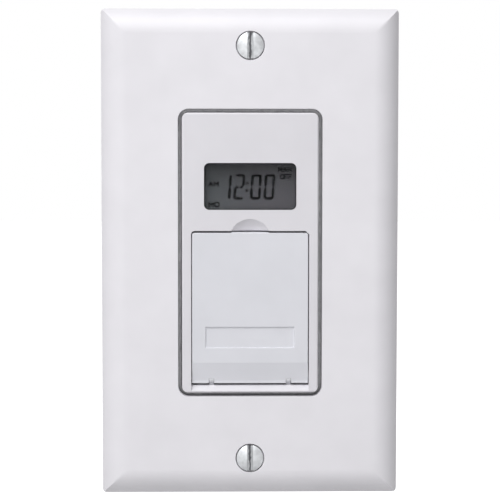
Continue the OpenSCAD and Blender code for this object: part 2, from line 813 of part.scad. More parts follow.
// Door over the keys, with its press pads and latch pegs.
module door() {
    gap_r = barrel_r + knuckle_gap;
    pad = paddle_gap - stop_gap;
    color("White") difference() {
        union() {
            intersection() {
                bar_x(-door_w / 2, door_w / 2) door_side();
                bar_z(door_foot - cut, door_top + cut)
                    front_rounded(door_w / 2, y_face, cut, door_edge_r);
            }
            box(-lip_half, lip_half, y_face + door_edge_r, y_door_in, door_top - lap,
                door_top + lip_h);
            for (s = [-1, 1]) {
                box(s * pad_x - pad_half, s * pad_x + pad_half, y_door_in - lap, y_door_in + pad,
                    top_bar_z - pad_rise, top_bar_z + pad_rise);
                box(s * peg_x - peg_half, s * peg_x + peg_half, y_door_in - lap,
                    y_paddle + peg_len, top_bar_z - pad_rise, top_bar_z + pad_rise);
            }
        }
        box(-blank_w / 2, blank_w / 2, y_face - cut, y_face + blank_d,
            door_top - blank_drop - blank_h / 2, door_top - blank_drop + blank_h / 2);
        rod_x(pin_r + pin_play, -door_w, door_w, y_pin, z_pin);
        for (s = [-1, 1]) rod_x(gap_r, s * knuckle_x - knuckle_w / 2 - knuckle_gap,
            s * knuckle_x + knuckle_w / 2 + knuckle_gap, y_pin, z_pin);
    }
}

// Steel pin through the door's barrel and the paddle's knuckles.
module hinge_pin() {
    color("Silver") rod_x(pin_r, slide_gap - door_w / 2, door_w / 2 - slide_gap, y_pin, z_pin);
}

// Paddle behind the door, which rocks on two trunnions and presses the on/off switch.
module on_off_paddle() {
    foot_top = foot_bar_z + foot_bar_h;
    bar_in = y_foot_bar + foot_bar_t;
    color("Gainsboro") difference() {
        union() {
            box(-paddle_half, paddle_half, y_paddle, y_paddle_in, paddle_top - top_bar_h,
                paddle_top);
            for (s = [-1, 1]) {
                box(s > 0 ? paddle_half - arm_w : -paddle_half,
                    s > 0 ? paddle_half : arm_w - paddle_half, y_paddle, y_paddle_in,
                    z_pin + barrel_r + slide_gap, paddle_top - lap);
                bar_x(s * knuckle_x - knuckle_w / 2, s * knuckle_x + knuckle_w / 2) {
                    translate([y_pin, z_pin]) circle(barrel_r);
                    translate([y_pin, z_pin - barrel_r - knuckle_foot])
                        square([bar_in - y_pin, 2 * barrel_r + knuckle_foot]);
                }
            }
            box(-paddle_half, paddle_half, y_foot_bar, bar_in, foot_bar_z, foot_top);
            rod_x(trunnion_r, -recess_half - trunnion_in, recess_half + trunnion_in,
                y_trunnion, z_pin);
            rod(plunger_r - plunger_gap, y_paddle_in - lap, y_plunger, 0, top_bar_z);
        }
        rod_x(pin_r + pin_fit, -door_w, door_w, y_pin, z_pin);
        rod(reset_hole_r, y_paddle - cut, y_paddle_in + cut, reset_x, top_bar_z);
        for (s = [-1, 1]) box(s * peg_x - peg_half - screw_play, s * peg_x + peg_half + screw_play,
            y_paddle - cut, y_paddle_in + cut, top_bar_z - 2 * pad_rise, top_bar_z + 2 * pad_rise);
    }
}

// One key with its stop rim and the stem that meets its switch.
module key(x) {
    rim = key_size + 2 * key_rim;
    translate([x, 0, key_z]) {
        slab(y_key, y_key_rim + lap) round_rect(key_size, key_size, key_r);
        slab(y_key_rim, y_key_rim + key_rim_t) round_rect(rim, rim, key_r);
        rod(plunger_r - plunger_gap, y_key_rim + key_rim_t - lap, y_plunger);
    }
}

// Key that steps through the timer's modes.
module mode_key() {
    color("LightGray") key(-key_pitch);
}

// Key that raises a value.
module plus_key() {
    color("LightGray") key(0);
}

// Key that lowers a value.
module minus_key() {
    color("LightGray") key(key_pitch);
}

// Body of one tact switch, with the well for its plunger.
module tact_body(x, z) {
    well_r = plunger_r + plunger_gap;
    translate([x, 0, z]) difference() {
        box(-tact_w / 2, tact_w / 2, y_tact, y_logic, -tact_w / 2, tact_w / 2);
        rod(well_r, y_tact - cut, y_tact + plunger_in + plunger_well);
    }
}

// Bodies of the five tact switches on the logic board.
module tact_switches() {
    color("DarkSlateGray") {
        tact_body(0, top_bar_z);
        tact_body(reset_x, top_bar_z);
        for (x = [-1, 0, 1]) tact_body(x * key_pitch, key_z);
    }
}

// One plunger, resting in the well of its tact switch.
module plunger(x, z) {
    rod(plunger_r, y_plunger, y_tact + plunger_in, x, z);
}

// Plunger under the on/off paddle.
module on_off_plunger() {
    color("Black") plunger(0, top_bar_z);
}

// Plunger under the mode key.
module mode_plunger() {
    color("Black") plunger(-key_pitch, key_z);
}

// Plunger under the plus key.
module plus_plunger() {
    color("Black") plunger(0, key_z);
}

// Plunger under the minus key.
module minus_plunger() {
    color("Black") plunger(key_pitch, key_z);
}

// Plunger that a thin pin presses to reset the timer.
module reset_plunger() {
    color("Red") plunger(reset_x, top_bar_z);
}

// Room that the case's screw bosses take out of a wide board's corners.
module board_corners(y0, y1) {
    for (x = [-1, 1], z = [-1, 1])
        rod(case_boss_r + board_gap, y0 - cut, y1 + cut, x * case_x, z * case_z);
}

// Board that carries the switches and the display.
module logic_board() {
    color("DarkGreen") difference() {
        box(-board_w / 2, board_w / 2, y_logic, y_logic_in, board_foot, board_top);
        board_corners(y_logic, y_logic_in);
        for (x = [-1, 1], z = [post_low, post_high])
            rod(board_screw_r + seat_gap, y_logic - cut, y_logic_in + cut, x * post_x, z);
    }
}

// Microcontroller on the back of the logic board.
module microcontroller() {
    half = chip_w / 2;
    color("Black") translate([board_w / 2 - chip_in, y_logic_in, key_z + chip_rise])
        box(-half, half, 0, chip_t, -half, half);
}

// Clock crystal on the back of the logic board.
module clock_crystal() {
    color("Silver") translate([crystal_in - board_w / 2, 0, key_z + chip_rise])
        slab(y_logic_in, y_logic_in + crystal_d) slot_shape(crystal_w, crystal_r);
}

// Screws of both boards.
module board_screws() {
    color("Silver") for (x = [-1, 1], z = [post_low, post_high]) {
        rod(board_screw_r, flange_t + board_gap, y_logic_in + lap, x * post_x, z);
        rod(board_head_r, y_logic_in, y_logic_in + board_head_h, x * post_x, z);
        rod(board_screw_r, y_power - lap, y_back_in - board_gap, x * post_x, z);
        rod(board_head_r, y_power - board_head_h, y_power, x * post_x, z);
    }
}

// Tray that carries the cell in and out of the front.
module battery_tray() {
    rail = dimple_r + board_gap;
    grip_half = 4;
    grip_h = 1.6;
    color("Gainsboro") difference() {
        union() {
            box(-tray_half, tray_half, y_tray, y_tray + tray_front_t, tray_foot, tray_top);
            difference() {
                box(-tray_half, tray_half, y_tray + lap, y_tray_in, tray_foot, tray_top);
                box(tray_wall - tray_half, tray_half - tray_wall, y_tray, y_tray_back,
                    tray_floor, tray_top + cut);
            }
        }
        box(tray_half - tray_wall - lap, tray_half + cut, contact_y - contact_half,
            y_tray_in + cut, cell_z - rail, cell_z + rail);
        rod(rail, y_tray_back - cut, y_tray_in + cut, 0, cell_z);
        box(-grip_half, grip_half, y_tray - cut, y_tray + tray_front_t / 2,
            tray_top - 2 * grip_h, tray_top - grip_h);
    }
}

// Lithium cell with its raised positive end.
module battery_cell() {
    color("Goldenrod") {
        rod(cell_d / 2, y_cell, y_cell_in - cell_button_h, 0, cell_z);
        rod(cell_d / 4, y_cell_in - cell_button_h - lap, y_cell_in, 0, cell_z);
    }
}

// Sleeve that the tray slides in, clamped between the two housings.
module battery_sleeve() {
    slide = tray_half + tray_fit;
    slot_end = 2;
    slot_side = 1;
    color("Gainsboro") difference() {
        box(-sleeve_half, sleeve_half, y_panel_in, y_back_in, sleeve_foot, sleeve_top);
        box(-slide, slide, y_panel_in - cut, y_sleeve_end, tray_foot - tray_fit,
            tray_top + tray_fit);
        box(slide - lap, sleeve_half + cut, contact_y - contact_half + slot_end,
            contact_y + contact_half - slot_end,
            cell_z - contact_z + slot_side, cell_z + contact_z - slot_side);
    }
}

// Spring contact for the cell's positive end.
module positive_contact() {
    color("Gold") {
        box(-contact_half, contact_half, y_sleeve_end - contact_t, y_sleeve_end,
            cell_z - contact_z, cell_z + contact_z);
        rod(dimple_r, y_cell_in, y_sleeve_end - contact_t + lap, 0, cell_z);
    }
}

// Spring contact for the side of the cell.
module negative_contact() {
    color("Gold") {
        box(sleeve_half, sleeve_half + contact_t, contact_y - contact_half,
            contact_y + contact_half, cell_z - contact_z, cell_z + contact_z);
        rod_x(dimple_r, cell_d / 2, sleeve_half + lap, contact_y, cell_z);
    }
}

// Board that carries the relay and the mains parts.
module power_board() {
    color("DarkGreen") difference() {
        box(-board_w / 2, board_w / 2, y_power, y_power_in, board_foot, board_top);
        board_corners(y_power, y_power_in);
        for (x = [-1, 1], z = [post_low, post_high])
            rod(board_screw_r + seat_gap, y_power - cut, y_power_in + cut, x * post_x, z);
    }
}

// Pin header that joins the two boards.
module board_header() {
    pins = 4;
    long = pins * header_spacing;
    color("Black") translate([header_x, 0, header_z]) {
        for (y = [y_logic_in, y_power - header_h])
            box(0, long, y, y + header_h, -header_h / 2, header_h / 2);
        for (i = [0:pins - 1]) translate([(i + 0.5) * header_spacing, 0, 0])
            box(-header_pin_half, header_pin_half, y_logic_in + header_h - lap,
                y_power - header_h + lap, -header_pin_half, header_pin_half);
    }
}

// Base of the relay.
module relay_base() {
    color("DarkSlateGray") translate([relay_x, 0, relay_z])
        box(-relay_w / 2, relay_w / 2, y_relay_base, y_power, -relay_h / 2, relay_h / 2);
}

// Copper coil of the relay, round its core.
module relay_coil() {
    color("Peru") difference() {
        rod(coil_r, y_core + board_gap, y_relay_base - yoke_t, relay_x, relay_z);
        rod(core_r + seat_gap, y_core, y_relay_base, relay_x, relay_z);
    }
}

// Steel yoke and core of the relay, with the pivot of its armature.
module relay_yoke() {
    color("Gray") {
        box(relay_x - coil_r, yoke_x + yoke_t, y_relay_base - yoke_t, y_relay_base,
            relay_z - yoke_half, relay_z + yoke_half);
        box(yoke_x, yoke_x + yoke_t, y_core, y_relay_base, relay_z - yoke_half,
            relay_z + yoke_half);
        for (z = [relay_z - yoke_half, relay_z + yoke_half - board_gap])
            box(yoke_x, yoke_x + yoke_t, y_armature, y_core + lap, z, z + board_gap);
        rod(core_r, y_core, y_relay_base - lap, relay_x, relay_z);
        translate([pivot_x, y_pivot, relay_z - yoke_half])
            cylinder(h = 2 * yoke_half, r = pivot_r);
    }
}

// Armature of the relay with its contact leaf.
module relay_armature() {
    core_over = 1;
    end = relay_x - core_r - core_over;
    color("LightSlateGray") difference() {
        union() {
            box(end, pivot_x, y_armature, y_armature_in, relay_z - armature_half,
                relay_z + armature_half);
            box(leaf_x, end + lap, y_armature, y_armature + leaf_t, relay_z - leaf_half,
                relay_z + leaf_half);
            translate([pivot_x, y_pivot, relay_z - armature_half])
                cylinder(h = 2 * armature_half, r = yoke_t / 2);
        }
        translate([pivot_x, y_pivot, relay_z - yoke_half])
            cylinder(h = 2 * yoke_half, r = pivot_r + thread_play);
    }
}

// Fixed contact of the relay.
module relay_contacts() {
    tip = y_armature + leaf_t + contact_gap;
    post_gap = 0.2;
    post = relay_left + post_gap;
    color("Goldenrod") {
        box(post, post + 2 * leaf_t, tip, y_relay_base, relay_z - leaf_half, relay_z + leaf_half);
        box(post, leaf_x + leaf_half, tip, tip + leaf_t, relay_z - leaf_half, relay_z + leaf_half);
    }
}

// Cover of the relay.
module relay_cover() {
    w = relay_w / 2;
    h = relay_h / 2;
    color("RoyalBlue") difference() {
        box(relay_x - w, relay_x + w, y_relay, y_relay_base, relay_z - h, relay_z + h);
        box(relay_left, relay_x + w - relay_wall, y_relay + relay_wall, y_power,
            relay_z - h + relay_wall, relay_z + h - relay_wall);
    }
}

// Film capacitor of the supply.
module film_capacitor() {
    color("Firebrick") translate([film_x, y_power, board_top - film_drop])
        box(-film_w / 2, film_w / 2, -film_d, 0, -film_h / 2, film_h / 2);
}

// Electrolytic capacitor of the supply.
module electrolytic_capacitor() {
    color("MidnightBlue")
        rod(can_r, y_power - can_len, y_power, board_w / 2 - can_in, board_top - can_drop);
}

// Varistor across the mains.
module varistor() {
    color("DodgerBlue") translate([disc_in - board_w / 2, y_power - disc_r, board_foot + disc_rise])
        rotate([0, 90, 0]) cylinder(h = disc_t, r = disc_r);
}

// Bridge rectifier of the supply.
module rectifier() {
    half = bridge_w / 2;
    color("Black") translate([bridge_x, y_power, board_foot + bridge_rise])
        box(-half, half, -bridge_d, 0, -half, half);
}

// Three lugs on the power board for the leads.
module lead_lugs() {
    color("Silver") for (x = [-1, 0, 1])
        translate([x * (board_w / 2 - lug_in), y_power_in, board_foot + lug_rise])
            box(-lug_w / 2, lug_w / 2, 0, lug_len, 0, lug_t);
}

// Rear housing with screw bosses, board posts and lead holes.
module rear_housing() {
    color("DimGray") difference() {
        union() {
            difference() {
                slab(flange_t, body_depth) round_rect(body_w, body_h, body_r);
                slab(flange_t - cut, y_back_in) round_rect(body_w - 2 * body_wall,
                    body_h - 2 * body_wall, body_r / 2);
            }
            for (x = [-1, 1], z = [-1, 1])
                rod(case_boss_r, flange_t, y_back_in + lap, x * case_x, z * case_z);
            for (x = [-1, 1], z = [post_low, post_high])
                rod(board_post_r, y_power_in, y_back_in + lap, x * post_x, z);
        }
        for (x = [-1, 1], z = [-1, 1])
            rod(case_screw_r + thread_play, flange_t - cut, case_screw_len + cut, x * case_x,
                z * case_z);
        for (x = [-1, 1], z = [post_low, post_high])
            rod(board_screw_r + thread_play, y_power_in - cut, y_back_in, x * post_x, z);
        for (p = [[-1, 0.5], [-1, -0.5], [1, 0.5]])
            rod(lead_hole_r, y_back_in - cut, body_depth + cut, p[0] * lead_x,
                cell_z + p[1] * lead_pitch);
        slab(body_depth - label_d, body_depth + cut) translate([0, label_z])
            round_rect(label_w, label_h, label_r);
    }
}

// Four screws that clamp the strap and both housings together.
module housing_screws() {
    cross_w = 1;
    cross_rim = 0.6;
    cross_half = case_head_r - cross_rim;
    color("Silver") for (x = [-1, 1], z = [-1, 1]) translate([x * case_x, 0, z * case_z]) {
        difference() {
            rod(case_head_r, -strap_t - case_head_h, -strap_t);
            for (a = [0, 90]) rotate([0, a, 0]) box(-cross_w / 2, cross_w / 2,
                -strap_t - case_head_h - cut, -strap_t - case_head_h / 2, -cross_half, cross_half);
        }
        rod(case_screw_r, -strap_t - lap, case_screw_len);
    }
}

wall_plate();
plate_screws();
mounting_strap();
box_screws();
earth_screw();
front_housing();
display_lens();
lcd_panel();
lcd_holder();
zebra_strips();
door();
hinge_pin();
on_off_paddle();
mode_key();
plus_key();
minus_key();
tact_switches();
on_off_plunger();
mode_plunger();
plus_plunger();
minus_plunger();
reset_plunger();
logic_board();
microcontroller();
clock_crystal();
board_screws();
battery_tray();
battery_cell();
battery_sleeve();
positive_contact();
negative_contact();
power_board();
board_header();
relay_base();
relay_coil();
relay_yoke();
relay_armature();
relay_contacts();
relay_cover();
film_capacitor();
electrolytic_capacitor();
varistor();
rectifier();
lead_lugs();
rear_housing();
housing_screws();
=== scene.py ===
"""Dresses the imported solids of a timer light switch: mouldings, screws, display and stage."""

import json
import math

import bmesh
import bpy
from bpy.props import FloatProperty, FloatVectorProperty, PointerProperty
from mathutils import Euler, Matrix, Vector

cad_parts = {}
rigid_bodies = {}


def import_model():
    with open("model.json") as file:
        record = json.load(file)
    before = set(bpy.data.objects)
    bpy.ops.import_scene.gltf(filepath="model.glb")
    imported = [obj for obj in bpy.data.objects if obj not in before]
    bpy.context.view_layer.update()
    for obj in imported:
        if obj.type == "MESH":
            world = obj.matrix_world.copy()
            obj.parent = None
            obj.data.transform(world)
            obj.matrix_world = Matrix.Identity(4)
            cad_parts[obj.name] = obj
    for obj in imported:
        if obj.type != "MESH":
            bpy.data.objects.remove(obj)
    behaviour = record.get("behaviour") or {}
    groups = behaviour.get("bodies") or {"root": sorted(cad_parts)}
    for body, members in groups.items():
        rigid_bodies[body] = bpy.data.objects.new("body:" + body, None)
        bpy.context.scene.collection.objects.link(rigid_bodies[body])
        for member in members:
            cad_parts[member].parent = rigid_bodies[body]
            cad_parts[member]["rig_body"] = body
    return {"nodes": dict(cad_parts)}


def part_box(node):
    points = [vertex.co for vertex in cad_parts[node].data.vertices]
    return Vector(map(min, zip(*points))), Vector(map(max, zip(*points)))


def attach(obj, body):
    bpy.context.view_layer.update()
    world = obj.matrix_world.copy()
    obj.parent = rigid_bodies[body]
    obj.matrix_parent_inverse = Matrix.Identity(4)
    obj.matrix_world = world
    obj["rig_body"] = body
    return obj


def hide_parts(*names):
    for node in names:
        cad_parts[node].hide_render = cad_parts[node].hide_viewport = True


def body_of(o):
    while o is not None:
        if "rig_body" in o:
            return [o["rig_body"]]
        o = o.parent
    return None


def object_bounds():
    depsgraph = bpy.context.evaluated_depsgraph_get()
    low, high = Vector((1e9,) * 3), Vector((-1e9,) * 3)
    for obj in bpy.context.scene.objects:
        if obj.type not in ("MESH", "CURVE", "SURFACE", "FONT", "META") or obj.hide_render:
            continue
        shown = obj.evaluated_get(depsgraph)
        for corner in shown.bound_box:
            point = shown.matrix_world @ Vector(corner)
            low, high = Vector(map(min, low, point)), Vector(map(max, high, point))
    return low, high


bl_info = {
    "name": "Timer light switch",
    "version": (1, 0, 0),
    "blender": (4, 5, 0),
    "location": "View3D > Sidebar > Timer switch",
    "description": "Builds the looks of a timer light switch round its packed solids",
    "category": "Object",
}

MM = 0.001
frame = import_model()
NODES = frame["nodes"]
CAD_BOX = [list(corner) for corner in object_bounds()]

CLOSE = 0.01 * MM  # places nearer than this are taken as the same
CLEAR = 1.0 * MM  # how far a cutter stands out of what it cuts
LAP = 0.1 * MM  # how far two joined forms reach into each other
MERGE = 0.002 * MM  # points nearer than this are merged
FLAT = math.radians(0.3)  # faces that meet at less than this become one


def millimetres(**sizes):
    """Named sizes that are written in millimetres, in the scene's metres."""
    return {name: size * MM for name, size in sizes.items()}


# Sizes and colours that a user would change.


def length(name, description, size):
    """A length property whose default is given in millimetres."""
    return FloatProperty(name=name, description=description, default=size * MM, precision=5,
                         unit="LENGTH")


def tint(name, description, rgb):
    """A linear colour property."""
    return FloatVectorProperty(name=name, description=description, default=rgb, size=3,
                               min=0.0, max=1.0, subtype="COLOR")


class SwitchSizes(bpy.types.PropertyGroup):
    """Sizes of the details that the looks add to the solids."""

    edge_round: length("Edge rounding", "Rounding of the mouldings' visible edges", 0.14)
    door_corner: length("Door corner", "Radius of the door's two upper corners", 0.6)
    steel_round: length("Steel edge", "Rounding of the strap's stamped edges", 0.16)
    thread_pitch: length("Thread pitch", "Pitch of the screws' threads", 0.79)
    thread_depth: length("Thread depth", "Depth of the screws' threads", 0.32)
    figure_height: length("Figure height", "Height of the display's figures", 6.05)
    figure_width: length("Figure width", "Width of one figure without its slant", 2.55)
    figure_stroke: length("Figure stroke", "Thickness of a figure's segments", 0.68)
    figure_slant: FloatProperty(name="Figure slant", default=0.07,
                                description="Sideways lean of the figures for their height")
    word_height: length("Word height", "Height of the display's small words", 1.28)
    word_stroke: length("Word stroke", "Thickness of the display's small words", 0.30)
    floor_drop: length("Floor drop", "Distance of the floor below the wall plate", 42.0)


class SwitchColours(bpy.types.PropertyGroup):
    """Colours of the finishes."""

    plate: tint("Plate", "Glossy white of the wall plate", (0.825, 0.81, 0.85))
    bezel: tint("Bezel", "Fine matte white of the bezel", (0.745, 0.732, 0.772))
    door: tint("Door", "Fine matte white of the door", (0.737, 0.740, 0.788))
    inner: tint("Inner parts", "White of the parts behind the door", (0.737, 0.740, 0.780))
    keys: tint("Keys", "Grey of the set-up keys", (0.30, 0.31, 0.33))
    display: tint("Display", "Dark grey of the display behind its lens", (0.080, 0.078, 0.088))
    zinc: tint("Zinc", "Dull zinc of the strap", (0.31, 0.31, 0.32))
    screws: tint("Screws", "Plating of the screws", (0.52, 0.53, 0.545))
    case: tint("Case", "Dark grey of the rear housing", (0.085, 0.086, 0.09))
    floor: tint("Floor", "Pale floor under the switch", (0.70, 0.70, 0.70))


def colour_of(name):
    """A colour from the panel."""
    return tuple(getattr(bpy.context.scene.switch_colours, name))


def size_of(name):
    """A size from the panel."""
    return getattr(bpy.context.scene.switch_sizes, name)


# Node trees.


def sign(operation, swapped=False):
    """A sign of arithmetic that adds its own node."""
    def work(first, second):
        pair = (second, first) if swapped else (first, second)
        return first.nodes.math(operation, *pair)
    return work


class Number:
    """What a node gives; signs of arithmetic on it add more nodes to its tree."""

    def __init__(self, nodes, socket):
        self.nodes = nodes
        self.socket = socket

    __add__ = sign("ADD")
    __sub__ = sign("SUBTRACT")
    __rsub__ = sign("SUBTRACT", swapped=True)
    __mul__ = sign("MULTIPLY")
    __truediv__ = sign("DIVIDE")
    __pow__ = sign("POWER")

    def __abs__(self):
        return self.nodes.math("ABSOLUTE", self)

    def __neg__(self):
        return self * -1.0


class Nodes:
    """Adds nodes to one tree and links or sets what they are fed."""

    def __init__(self, tree):
        self.tree = tree

    def feed(self, socket, value):
        """Links an output to a socket, or sets the socket's own value."""
        if isinstance(value, Number):
            value = value.socket
        if isinstance(value, bpy.types.NodeSocket):
            self.tree.links.new(value, socket)
        else:
            socket.default_value = value

    def add(self, kind, feeds=None, **settings):
        """Adds a node, sets its properties and feeds its inputs, a list one by one."""
        node = self.tree.nodes.new(kind)
        for key, value in settings.items():
            setattr(node, key, value)
        for key, value in (feeds or {}).items():
            for one in value if isinstance(value, list) else [value]:
                self.feed(node.inputs[key], one)
        return node

    def number(self, kind, output, feeds=None, **settings):
        """Adds a node and gives one of its outputs."""
        return Number(self, self.add(kind, feeds, **settings).outputs[output])

    def math(self, operation, first, second=0.0):
        """One step of arithmetic."""
        return self.number("ShaderNodeMath", 0, {0: first, 1: second}, operation=operation)

    def parts(self, vector):
        """X, Y and Z of a vector."""
        return [Number(self, way) for way in self.add("ShaderNodeSeparateXYZ", {0: vector}).outputs]

    def spread(self, value, low, high, start=0.3, end=0.7, **settings):
        """Maps a value between start and end onto a range."""
        return self.number("ShaderNodeMapRange", "Result", {
            "Value": value, "From Min": start, "From Max": end, "To Min": low, "To Max": high},
            **settings)


# Finishes.

EVEN = (1.0, 1.0, 1.0)


class Finish(Nodes):
    """One procedural material: a Principled shader that reads noise on Object coordinates."""

    def __init__(self, name):
        self.material = bpy.data.materials.new(name)
        self.material.use_nodes = True
        super().__init__(self.material.node_tree)
        self.shader = self.tree.nodes["Principled BSDF"]
        self.coords = self.add("ShaderNodeTexCoord").outputs["Object"]
        self.bump = None

    def set(self, **values):
        """Feeds the shader's own sockets, which are named with spaces as underscores."""
        for key, value in values.items():
            self.feed(self.shader.inputs[key.replace("_", " ")], value)
        return self

    def noise(self, size, detail=2.0, stretch=EVEN):
        """Noise whose grains are about size millimetres, longer where stretch is above 1."""
        place_of = self.add("ShaderNodeMapping", {
            "Vector": self.coords, "Scale": tuple(1.0 / s for s in stretch)}).outputs["Vector"]
        return self.number("ShaderNodeTexNoise", "Fac", {
            "Vector": place_of, "Scale": 1.0 / (size * MM), "Detail": detail})

    def bands(self, scale, distortion=0.0, way="X"):
        """Close bands along one axis."""
        return self.number("ShaderNodeTexWave", "Fac", {
            "Vector": self.coords, "Scale": scale, "Distortion": distortion}, bands_direction=way)

    def blend(self, fac, first, second):
        """Mixes two colours."""
        node = self.add("ShaderNodeMix", {0: fac}, data_type="RGBA")
        for key, value in ((6, first), (7, second)):
            self.feed(node.inputs[key], value if isinstance(value, Number) else (*value, 1.0))
        return Number(self, node.outputs[2])

    def colour(self, rgb, vary=0.03, size=9.0):
        """Base colour that drifts a little across the surface."""
        fac = self.spread(self.noise(size), 0.0, 1.0)
        light = [min(1.0, c * (1 + vary)) for c in rgb]
        dark = [c * (1 - vary) for c in rgb]
        return self.set(Base_Color=self.blend(fac, dark, light))

    def rough(self, low, high, size=1.2, stretch=EVEN):
        """Roughness that drifts between two values."""
        return self.set(Roughness=self.spread(self.noise(size, 3.0, stretch), low, high))

    def relief(self, height, deep):
        """Fine relief that is deep millimetres; a second call adds to the first."""
        feeds = {"Height": height, "Distance": deep * MM}
        if self.bump is not None:
            feeds["Normal"] = self.bump
        self.bump = self.number("ShaderNodeBump", "Normal", feeds)
        return self.set(Normal=self.bump)

    def grain(self, size, deep, detail=2.0, stretch=EVEN):
        """Relief of noise."""
        return self.relief(self.noise(size, detail, stretch), deep)


def plastic(name, rgb, low, high, grain=0.35, deep=0.004, vary=0.02):
    """Moulded plastic with a fine texture and a slow waviness."""
    return Finish(name).colour(rgb, vary).rough(low, high).grain(grain, deep).grain(
        6.0, 0.02).set(IOR=1.49).material


def metal(name, rgb, low, high, stretch=EVEN):
    """Bare or plated metal with streaks along stretch."""
    return Finish(name).colour(rgb, 0.10, 1.5).rough(low, high, 0.4, stretch).grain(
        0.25, 0.006, 3.0, stretch).set(Metallic=1.0).material


def clear_lens():
    """Clear acrylic that turns nearly opaque and dark where its surface tilts, a painted shade line on
    its rounded edges.
    """
    lens = Finish("clear_lens").rough(0.03, 0.07, 4.0)
    # painted shade: tilted faces of the lens become dark and nearly opaque
    facing = abs(lens.parts(lens.add("ShaderNodeTexCoord").outputs["Normal"])[1])
    return lens.set(Base_Color=(0.02, 0.022, 0.024, 1.0), IOR=1.49,
                    Alpha=lens.spread(facing, 0.9, 0.06, 0.6, 0.98)).material


def slotted_plating():
    """Bright plating of the screws, with painted shade inside the slot that is darkest along the
    slot's middle.
    """
    plating = Finish("screw_plating")
    worn = plating.number("ShaderNodeAttribute", "Fac", attribute_name="worn")
    across = plating.parts(plating.coords)[0]
    ragged = plating.spread(plating.noise(0.5, 3.0, (1, 1, 3)), -0.2 * MM, 0.2 * MM)
    middle = abs(across + ragged)
    # painted shade: dark inside the slot, darkest along its middle
    painted_slot_shade = worn * plating.spread(middle, 0.95, 0.35, 0.15 * MM, 0.4 * MM)
    rgb = colour_of("screws")
    shine = plating.blend(plating.spread(plating.noise(1.2), 0.0, 1.0),
                          [c * 0.86 for c in rgb], [min(1.0, c * 1.1) for c in rgb])
    plating.set(Base_Color=plating.blend(painted_slot_shade, shine, (0.05, 0.05, 0.055)), Metallic=1.0)
    return plating.rough(0.42, 0.56, 0.4, (1, 1, 4)).grain(0.3, 0.01, 3.0, (1, 1, 4)).material


def display_grey():
    """Dark polariser of the display, a little greener on its left, with painted light on its lower
    part and painted shade towards its top.
    """
    grey = Finish("display_grey")
    across, _, up = grey.parts(grey.coords)
    left = grey.spread(across, 0.55, 0.0, -11.0 * MM, 3.0 * MM)
    # painted shade: the display darkens towards its top, where the window's upper edge would shade it
    top = grey.spread(up, 0.0, 1.0, 11.0 * MM, 20.5 * MM)
    rgb = colour_of("display")
    green = [c * share for c, share in zip(rgb, (0.84, 1.05, 0.98))]
    # a lit and a shaded copy of the grey: painted light low down, painted shade up top
    lit, shadowed = [grey.blend(left, [c * light for c in rgb], [c * light for c in green])
                     for light in (1.48, 0.74)]
    return grey.set(Base_Color=grey.blend(top, lit, shadowed), Specular_IOR_Level=0.1).rough(
        0.45, 0.6, 0.5).grain(0.3, 0.002).material


def display_ink():
    """Near-black of the lit segments, without shine."""
    return Finish("display_ink").colour((0.003, 0.003, 0.004), 0.2, 0.5).rough(
        0.7, 0.9).set(Specular_IOR_Level=0.0).material


def board_mask():
    """Green solder mask with darker tracks and a glass-weave relief."""
    mask = Finish("board_mask")
    tracks = mask.spread(mask.bands(260.0, 3.0), 0.0, 1.0, 0.55, 0.62)
    green = mask.blend(tracks, (0.012, 0.10, 0.035), (0.02, 0.16, 0.06))
    return mask.set(Base_Color=green).rough(0.3, 0.45).grain(0.5, 0.006).material


def winding():
    """Enamelled copper wire in close turns."""
    wire = Finish("coil_winding").colour((0.45, 0.17, 0.06), 0.2, 0.6)
    return wire.relief(wire.bands(900.0, way="Y"), 0.08).grain(0.3, 0.004).rough(
        0.25, 0.4).set(Metallic=0.8).material


def striped_rubber():
    """Silicone rubber with close conducting layers."""
    rubber = Finish("zebra_rubber")
    layers = rubber.spread(rubber.bands(400.0), 0.0, 1.0, 0.4, 0.6)
    stripes = rubber.blend(layers, (0.02, 0.02, 0.022), (0.34, 0.33, 0.32))
    return rubber.set(Base_Color=stripes).rough(0.6, 0.8).grain(0.3, 0.004).material


